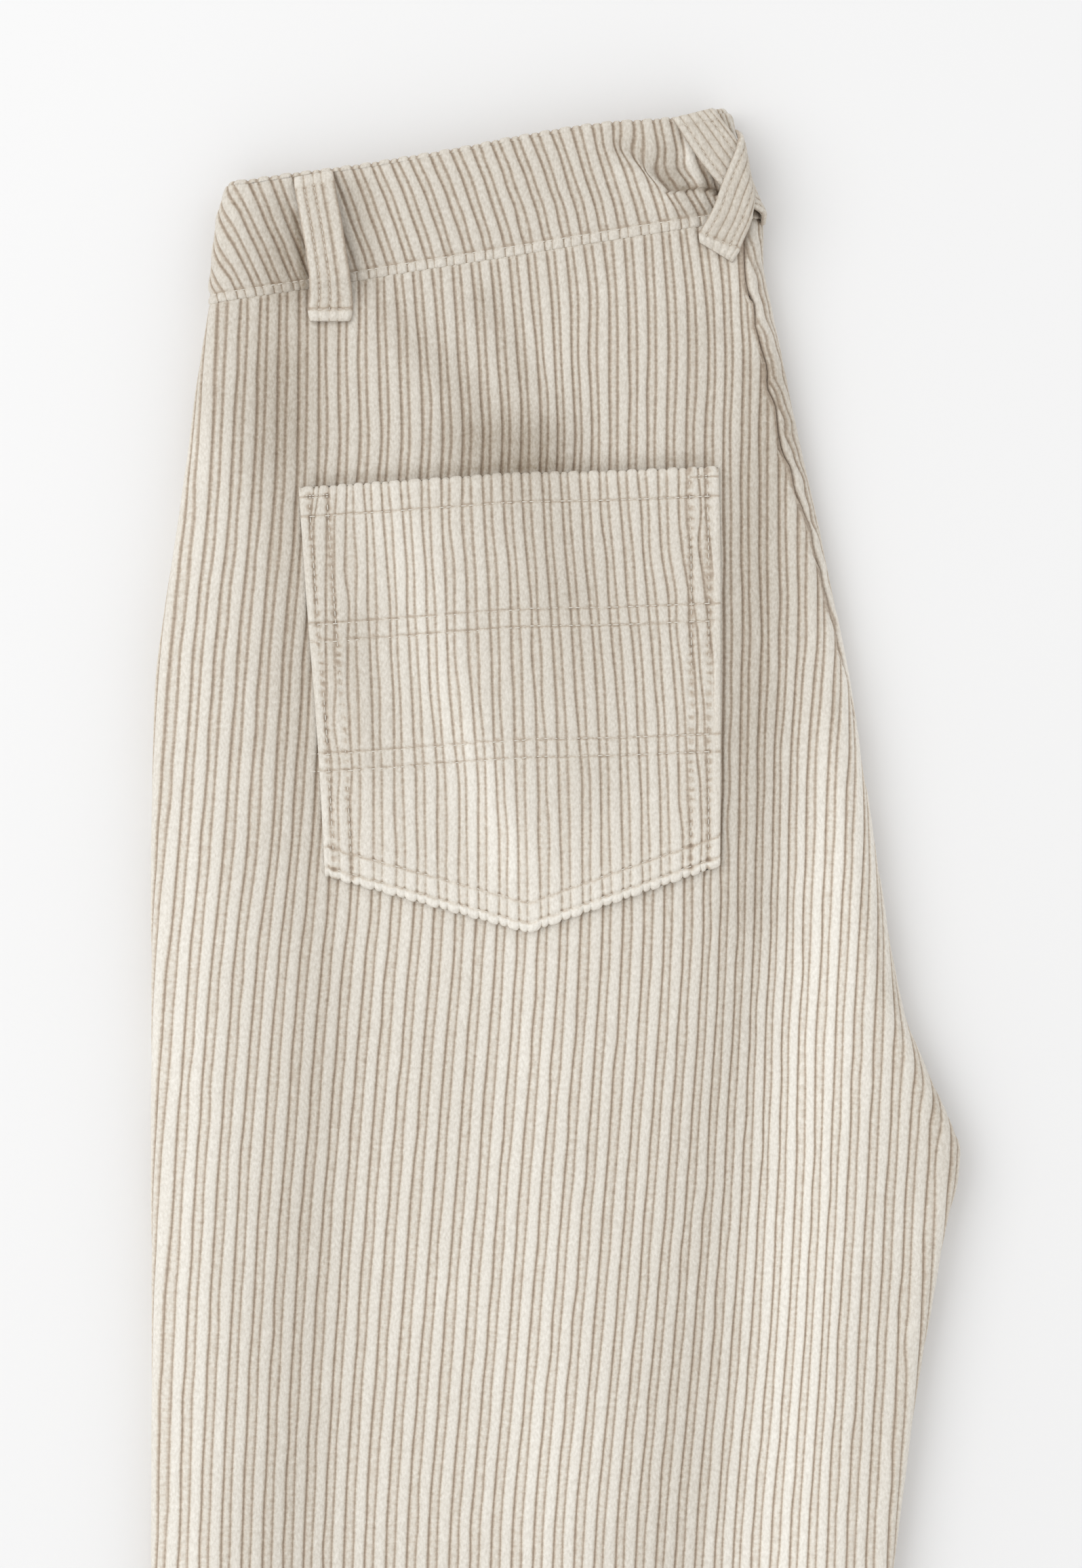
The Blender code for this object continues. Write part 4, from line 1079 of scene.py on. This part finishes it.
# Stitches press the wales down and pucker them, and the foot's rows arch over each wale.
TICK_APART = 3.9  # from one pucker of the side rows to the next
across, along, foot = pocket.rows(u)
foot = [row + 0.9 * (crown - 0.5) for row in foot]
pressed = np.maximum(nearest(across, 0.6), (1.5 - 0.5 * crown) * nearest(foot, 0.75))
puffed = np.maximum(nearest(across, 1.7), 1.6 * nearest(foot, 2.4))
sunk = nearest(along, 1.0)
y = pocket.y_at(u)
tick = np.sin(2 * math.pi * (y + 1.1 * np.sin(y / 6.7)) / TICK_APART)
relief = mix(rise, 0.85, 0.8 * side_cord)  # the cords are level, with hardly a groove
lift = relief * (1 - 0.3 * pressed - 0.4 * sunk) - 0.4 * pressed - 0.35 * sunk
lift = lift + 0.25 * puffed + 0.2 * tick * nearest(along, 2.2)
lift = lift + 0.3 * foot_cord + 0.35 * border * rise - edge_drop
outer, inner = pocket.lay(u, lift), pocket.lay(u, -CLOTH)
outer[..., 1] += (crown - 0.4) * (eased(3, 0, from_mouth) - eased(3.2, 0, from_foot))

# Painted light: the pile is paler, its grooves less dark, on the mouth's hem, the foot's cord and
# border, the puffs by the rows and toward the left side, where the cloth stands up or faces the
# lamp. Painted shade darkens it in the hollows along the stitches.
pale = 0.14 + 0.3 * eased(4, 0, from_mouth) + 0.45 * foot_cord + 0.2 * puffed
pale = pale + 0.12 * eased(45, 12, u - pocket.low) + 0.12 * border
pile = mix(relief / WIDE_RISE, 1, pale) + 0.16 * foot_cord
pile = pile * (1 - 0.42 * pressed - (0.46 - 0.34 * tick) * sunk)
# Painted highlights on the border, the cords, the mouth's hem and the left side.
painted_highlight = 0.015 + 0.035 * border + 0.09 * foot_cord + 0.09 * side_cord
painted_highlight = painted_highlight + 0.06 * eased(7, 0, from_mouth) + 0.04 * eased(16, 2, u - pocket.low)
patch = cloth("patch_pocket", "back_pocket", outer, inner, pile, (4, 6), painted_highlight=painted_highlight)


def pocket_line(x, y):
    """Points on top of the pocket's wales, at x and y."""
    foot, mouth = line_y(POCKET_FOOT, x), line_y(POCKET_MOUTH, x)
    share = ((y - foot) / (mouth - foot))[:, None]
    return Pocket(share).lay(x[:, None], THREAD_LIFT)[:, 0]


rows = []
x = np.linspace(*CROSS_ENDS, 200)
for row in (MOUTH_ROW, *CROSS_ROWS):
    rows.append(pocket_line(x, line_y(POCKET_MOUTH, x) - row))
for row in FOOT_ROWS:
    x = np.linspace(FOOT_ENDS[0] + row, FOOT_ENDS[1] - row, 200)
    rows.append(pocket_line(x, line_y(POCKET_FOOT, x) + row))
for left, right in zip(LEFT_ROWS, RIGHT_ROWS):
    share = np.linspace((left + 1) / POCKET_DEEP, 1 - 4 / POCKET_DEEP, 120)[:, None]
    side = Pocket(share)
    rows += [side.lay(x, 0.0)[:, 0] for x in (side.low + left, side.high - right)]
pocket_thread = sew("pocket_stitches", rows)
rows = []
for row in (TACK - 0.4, TACK + 0.4):
    for ends in TACK_ENDS:
        x = np.linspace(*ends, 30)
        rows.append(pocket_line(x, line_y(POCKET_MOUTH, x) - row))
pocket_tacks = sew("pocket_tacks", rows, *TACK_STITCH)

# ------------------------------------------------------------------ belt loops
# Strips of the corduroy, folded to 15 mm and stitched along both edges, with their ends turned
# under and bar-tacked.  One stands off the waistband at the side, and two cross at the centre
# back, one over the other.
LOOP_CLOTH = 1.3
SIDE_GROOVES = (0.0, 0.24, 0.485, 0.68, 1.0)  # share of the way across
CROSS_GROOVES = (0.0, 0.18, 0.385, 0.59, 0.755, 0.90, 1.0)
# Routes from the top end down: left edge's x and y, right edge's, then how high each edge's face
# stands.  The side loop's heights are above the cloth, the crossed loops' above the floor.
SIDE_LOOP = (
    (-96.2, 513.6, -81.8, 516.2, 2.6, 2.6),
    (-95.9, 510, -81.2, 512.8, 4.4, 4.4),
    (-94.7, 503.6, -80, 506, 7.1, 7.1),
    (-93.4, 496, -78.4, 498, 8, 8),
    (-91.6, 486, -76.8, 487.4, 8.1, 8.1),
    (-90.4, 475.6, -75.2, 476.6, 7.2, 7.2),
    (-90.4, 470.4, -74.6, 470.8, 4.9, 4.9),
    (-91.2, 465.8, -74.4, 466, 3, 3),
    (-90.4, 460.8, -75.4, 460.8, 2.6, 2.6),
)
UNDER_LOOP = (
    (43, 535.2, 58, 539, 23.1, 23.2),
    (44.6, 532.8, 61, 535.4, 23.8, 23.6),
    (46.9, 529.2, 64.5, 531, 24.3, 23.6),
    (53.7, 518.8, 70.5, 523, 24.8, 23.4),
    (60.2, 511, 76, 515.6, 24.3, 23.2),
    (67, 504.6, 81.6, 510, 23.4, 22.6),
    (73.6, 501.8, 86, 509, 22.8, 22.2),
    (79.2, 499.4, 90.2, 507.6, 22.4, 21.8),
    (85, 496.6, 95, 505, 22, 21.4),
)
OVER_LOOP = (
    (70, 531.4, 83.6, 525.4, 24.6, 24.4),
    (68.8, 529, 82.6, 523, 25.6, 25.4),
    (65.7, 522, 79.5, 516, 26.4, 26.4),
    (61.3, 511.2, 75.2, 505.2, 26.6, 26.4),
    (57.9, 501.8, 71.8, 495.6, 26, 25.6),
    (54.8, 496.2, 69.4, 490.4, 24, 23.8),
    (52.8, 492.6, 67.9, 486.6, 22.8, 22.6),
    (53.2, 489.6, 65.2, 482.4, 22.2, 22),
)
# Where the crossed loops turn down over the seat's fold: y, then x of each loop's outer face.
FOLD_EDGE = (
    (482, 76.2, 81.0), (493, 76.6, 76.0), (496, 77.0, 74.5), (500.5, 77.4, 73.0), (505, 75.4, 73.2),
    (515, 71.6, 71.4), (524, 69.8, 69.8), (528, 68.6, 68.9), (531, 67.4, 67.6), (535, 65.6, 65.8),
    (540, 63.6, 63.6),
)
FOLD_RADIUS = 3.6  # of the loops there
SEAM_X, SEAM_Y = (-127.0, 77.0), (467.7, 499.7)  # both ends of the band's lower edge
LOOP_ROWS, TAB = 84, 4.6  # rows of points, and length of the bead outside a bar tack
LOOP_STITCH = (1.7, 0.7, 0.17)  # length, gap and radius
# One wale of a loop: share of the way across it, and share of its height.
LOOP_WALE = ((0.0, 0.1), (0.14, 0.62), (0.32, 1.0), (0.68, 1.0), (0.86, 0.62))


def on_band(x, y, height, off):
    """Points over the waistband or the leg, lifted off the ground."""
    row = Layer(y, y)
    row.rise = BAND_RISE * between(-2, 1, y - np.interp(x, SEAM_X, SEAM_Y))
    return row.lay(x, height + off)


def over_fold(column):
    """Lays a strip at its height, then down over the fold of the seat."""
    edge_x = smooth(FOLD_EDGE, column)

    def lay(x, y, height, off):
        start = edge_x(y) - FOLD_RADIUS
        past = np.maximum(x - start, 0)
        turn = np.minimum(past / FOLD_RADIUS, math.pi / 2)
        down = np.maximum(past - FOLD_RADIUS * math.pi / 2, 0)
        x = np.where(past > 0, start + FOLD_RADIUS * np.sin(turn), x)
        z = height - FOLD_RADIUS * (1 - np.cos(turn)) - down
        x, z = x + off * np.sin(turn), z + off * np.cos(turn)
        return np.stack(np.broadcast_arrays(x, y, z), axis=-1)

    return lay


def strip_wales(grooves):
    """Places and rises across a strip between its grooves, rounded on each wale."""
    places, rises = [], []
    for left, right in zip(grooves, grooves[1:]):
        for share, height in LOOP_WALE:
            places.append(mix(left, right, share))
            rises.append(height * min(0.76, 0.5 + 1.2 * (right - left)))
    return np.array([*places, 1.0]), np.array([*rises, 0.0])


def belt_loop(
    name, route, node, lay, tabs,
    grooves=CROSS_GROOVES, flat=0.36, tone=0.84,
):
    """One loop; tabs says how deeply its ends' bar tacks are pulled in, or 0 at a hidden end.

    flat is how far its grooves are as pale as its wales.
    """
    table = [(i, *row) for i, row in enumerate(route)]
    at = np.linspace(0, len(route) - 1.0, LOOP_ROWS)
    left_x, left_y, right_x, right_y, left_h, right_h = (
        column(at)[:, None] for column in columns_of(table)
    )
    middle_x, middle_y = mix(left_x, right_x, 0.5), mix(left_y, right_y, 0.5)
    along = distances(np.hypot(np.diff(middle_x[:, 0]), np.diff(middle_y[:, 0])))[:, None]

    def points(across, off):
        x, y = mix(left_x, right_x, across), mix(left_y, right_y, across)
        return lay(x, y, mix(left_h, right_h, across), off + 0 * x)

    rows = [points(grooves[k], 0.12)[:, 0] for k in (1, -3)]
    share, rise = strip_wales(grooves)
    relief, pinch, bulge = np.ones(along.shape), np.zeros(along.shape), np.zeros(along.shape)
    for pulled, from_end in zip(tabs, (along, along[-1] - along)):
        if pulled:
            bead = np.sin(math.pi * np.clip(from_end / TAB, 0.04, 1)) ** 0.5
            firm = min(1, pulled / 0.6)
            relief = np.where(from_end < TAB, mix(1, 0.35 + 0.65 * bead, firm), relief)
            bulge = bulge + np.where(from_end < TAB, 0.9 * firm * bead, 0)
            pinch = np.maximum(pinch, pulled * hump(from_end - TAB, 0.7))
            tack = int(np.argmin(np.abs(from_end[:, 0] - TAB)))
            rows.append(points(np.linspace(0.05, 0.95, 30), 0.2)[tack])
        else:
            relief = relief * eased(-0.3, 1.0, from_end)
    edge = np.minimum(share, 1 - share)
    lift = rise * relief - 0.5 * pinch + bulge - 0.7 * (1 - np.sqrt(between(0, 0.06, edge)))
    # Painted highlights on the beads at the tacks and along the left edge. Painted shade darkens
    # the pinch beside each tack.
    pile = mix(rise / 0.8, 1, flat + (0.85 - flat) * bulge) * (1 - 0.45 * pinch)
    painted_highlight = 0.1 * bulge + 0.06 * eased(0.24, 0.1, share)
    outer, inner = points(share, lift), points(share, -LOOP_CLOTH + 0 * lift)
    loop = cloth(name, node, outer, inner, pile, (3, 4), painted_highlight=painted_highlight, tone=tone)
    thread = sew(name + "_stitches", rows, *LOOP_STITCH)


belt_loop(
    "side_loop", SIDE_LOOP, "belt_loop_side", on_band, (0.4, 1.0),
    SIDE_GROOVES, 0.12, 0.88,
)
belt_loop(
    "centre_loop_below", UNDER_LOOP, "belt_loop_cross_under", over_fold(1), (0.22, 0),
)
belt_loop(
    "centre_loop_above", OVER_LOOP, "belt_loop_cross_over", over_fold(2), (0, 0.6),
)

# ------------------------------------------------------------------ floor, light and camera
# A plain pale surface, one large soft light from the upper left, and an even sky.
FLOOR_HALF = 2000.0
VIEW_X, VIEW_Y, VIEW_HIGH = -5.2, 290.4, 578.25  # middle of the view, and what it takes in
FACE_Z = 18.0  # the height at which it does
LENS, SENSOR = 110.0, 36.0
LAMP_AT, LAMP_AIM = (-1350, 800, 1900), (0, 290, 0)
LAMP_SIZE, LAMP_WATTS, SKY = (2.2, 2.0), 17.5, 0.83

corners = np.array([(-1, -1, 0), (1, -1, 0), (1, 1, 0), (-1, 1, 0)]) * FLOOR_HALF
paper = mottled(
    "floor_paper", (0.91, 0.91, 0.91), 0.985, 3.0, {"Roughness": 0.9, "Specular IOR Level": 0.1}
)
built("floor", corners, [(0, 1, 2, 3)], paper)

lamp_data = bpy.data.lights.new("softbox", "AREA")
lamp_data.shape = "RECTANGLE"
lamp_data.size, lamp_data.size_y = LAMP_SIZE
lamp_data.energy = LAMP_WATTS
lamp = put("softbox", lamp_data, LAMP_AT)
aim = Vector(LAMP_AIM) - Vector(LAMP_AT)
lamp.rotation_euler = aim.to_track_quat("-Z", "Y").to_euler()

world = bpy.data.worlds.new("studio")
world.use_nodes = True
sky = world.node_tree.nodes["Background"]
wire(sky, {"Color": (1, 1, 1, 1), "Strength": SKY})
bpy.context.scene.world = world

camera_data = bpy.data.cameras.new("camera")
camera_data.sensor_width, camera_data.lens = SENSOR, LENS
camera_at = (VIEW_X, VIEW_Y, FACE_Z + VIEW_HIGH * LENS / SENSOR)
bpy.context.scene.camera = put("camera", camera_data, camera_at)
bpy.context.scene.view_settings.view_transform = "Standard"
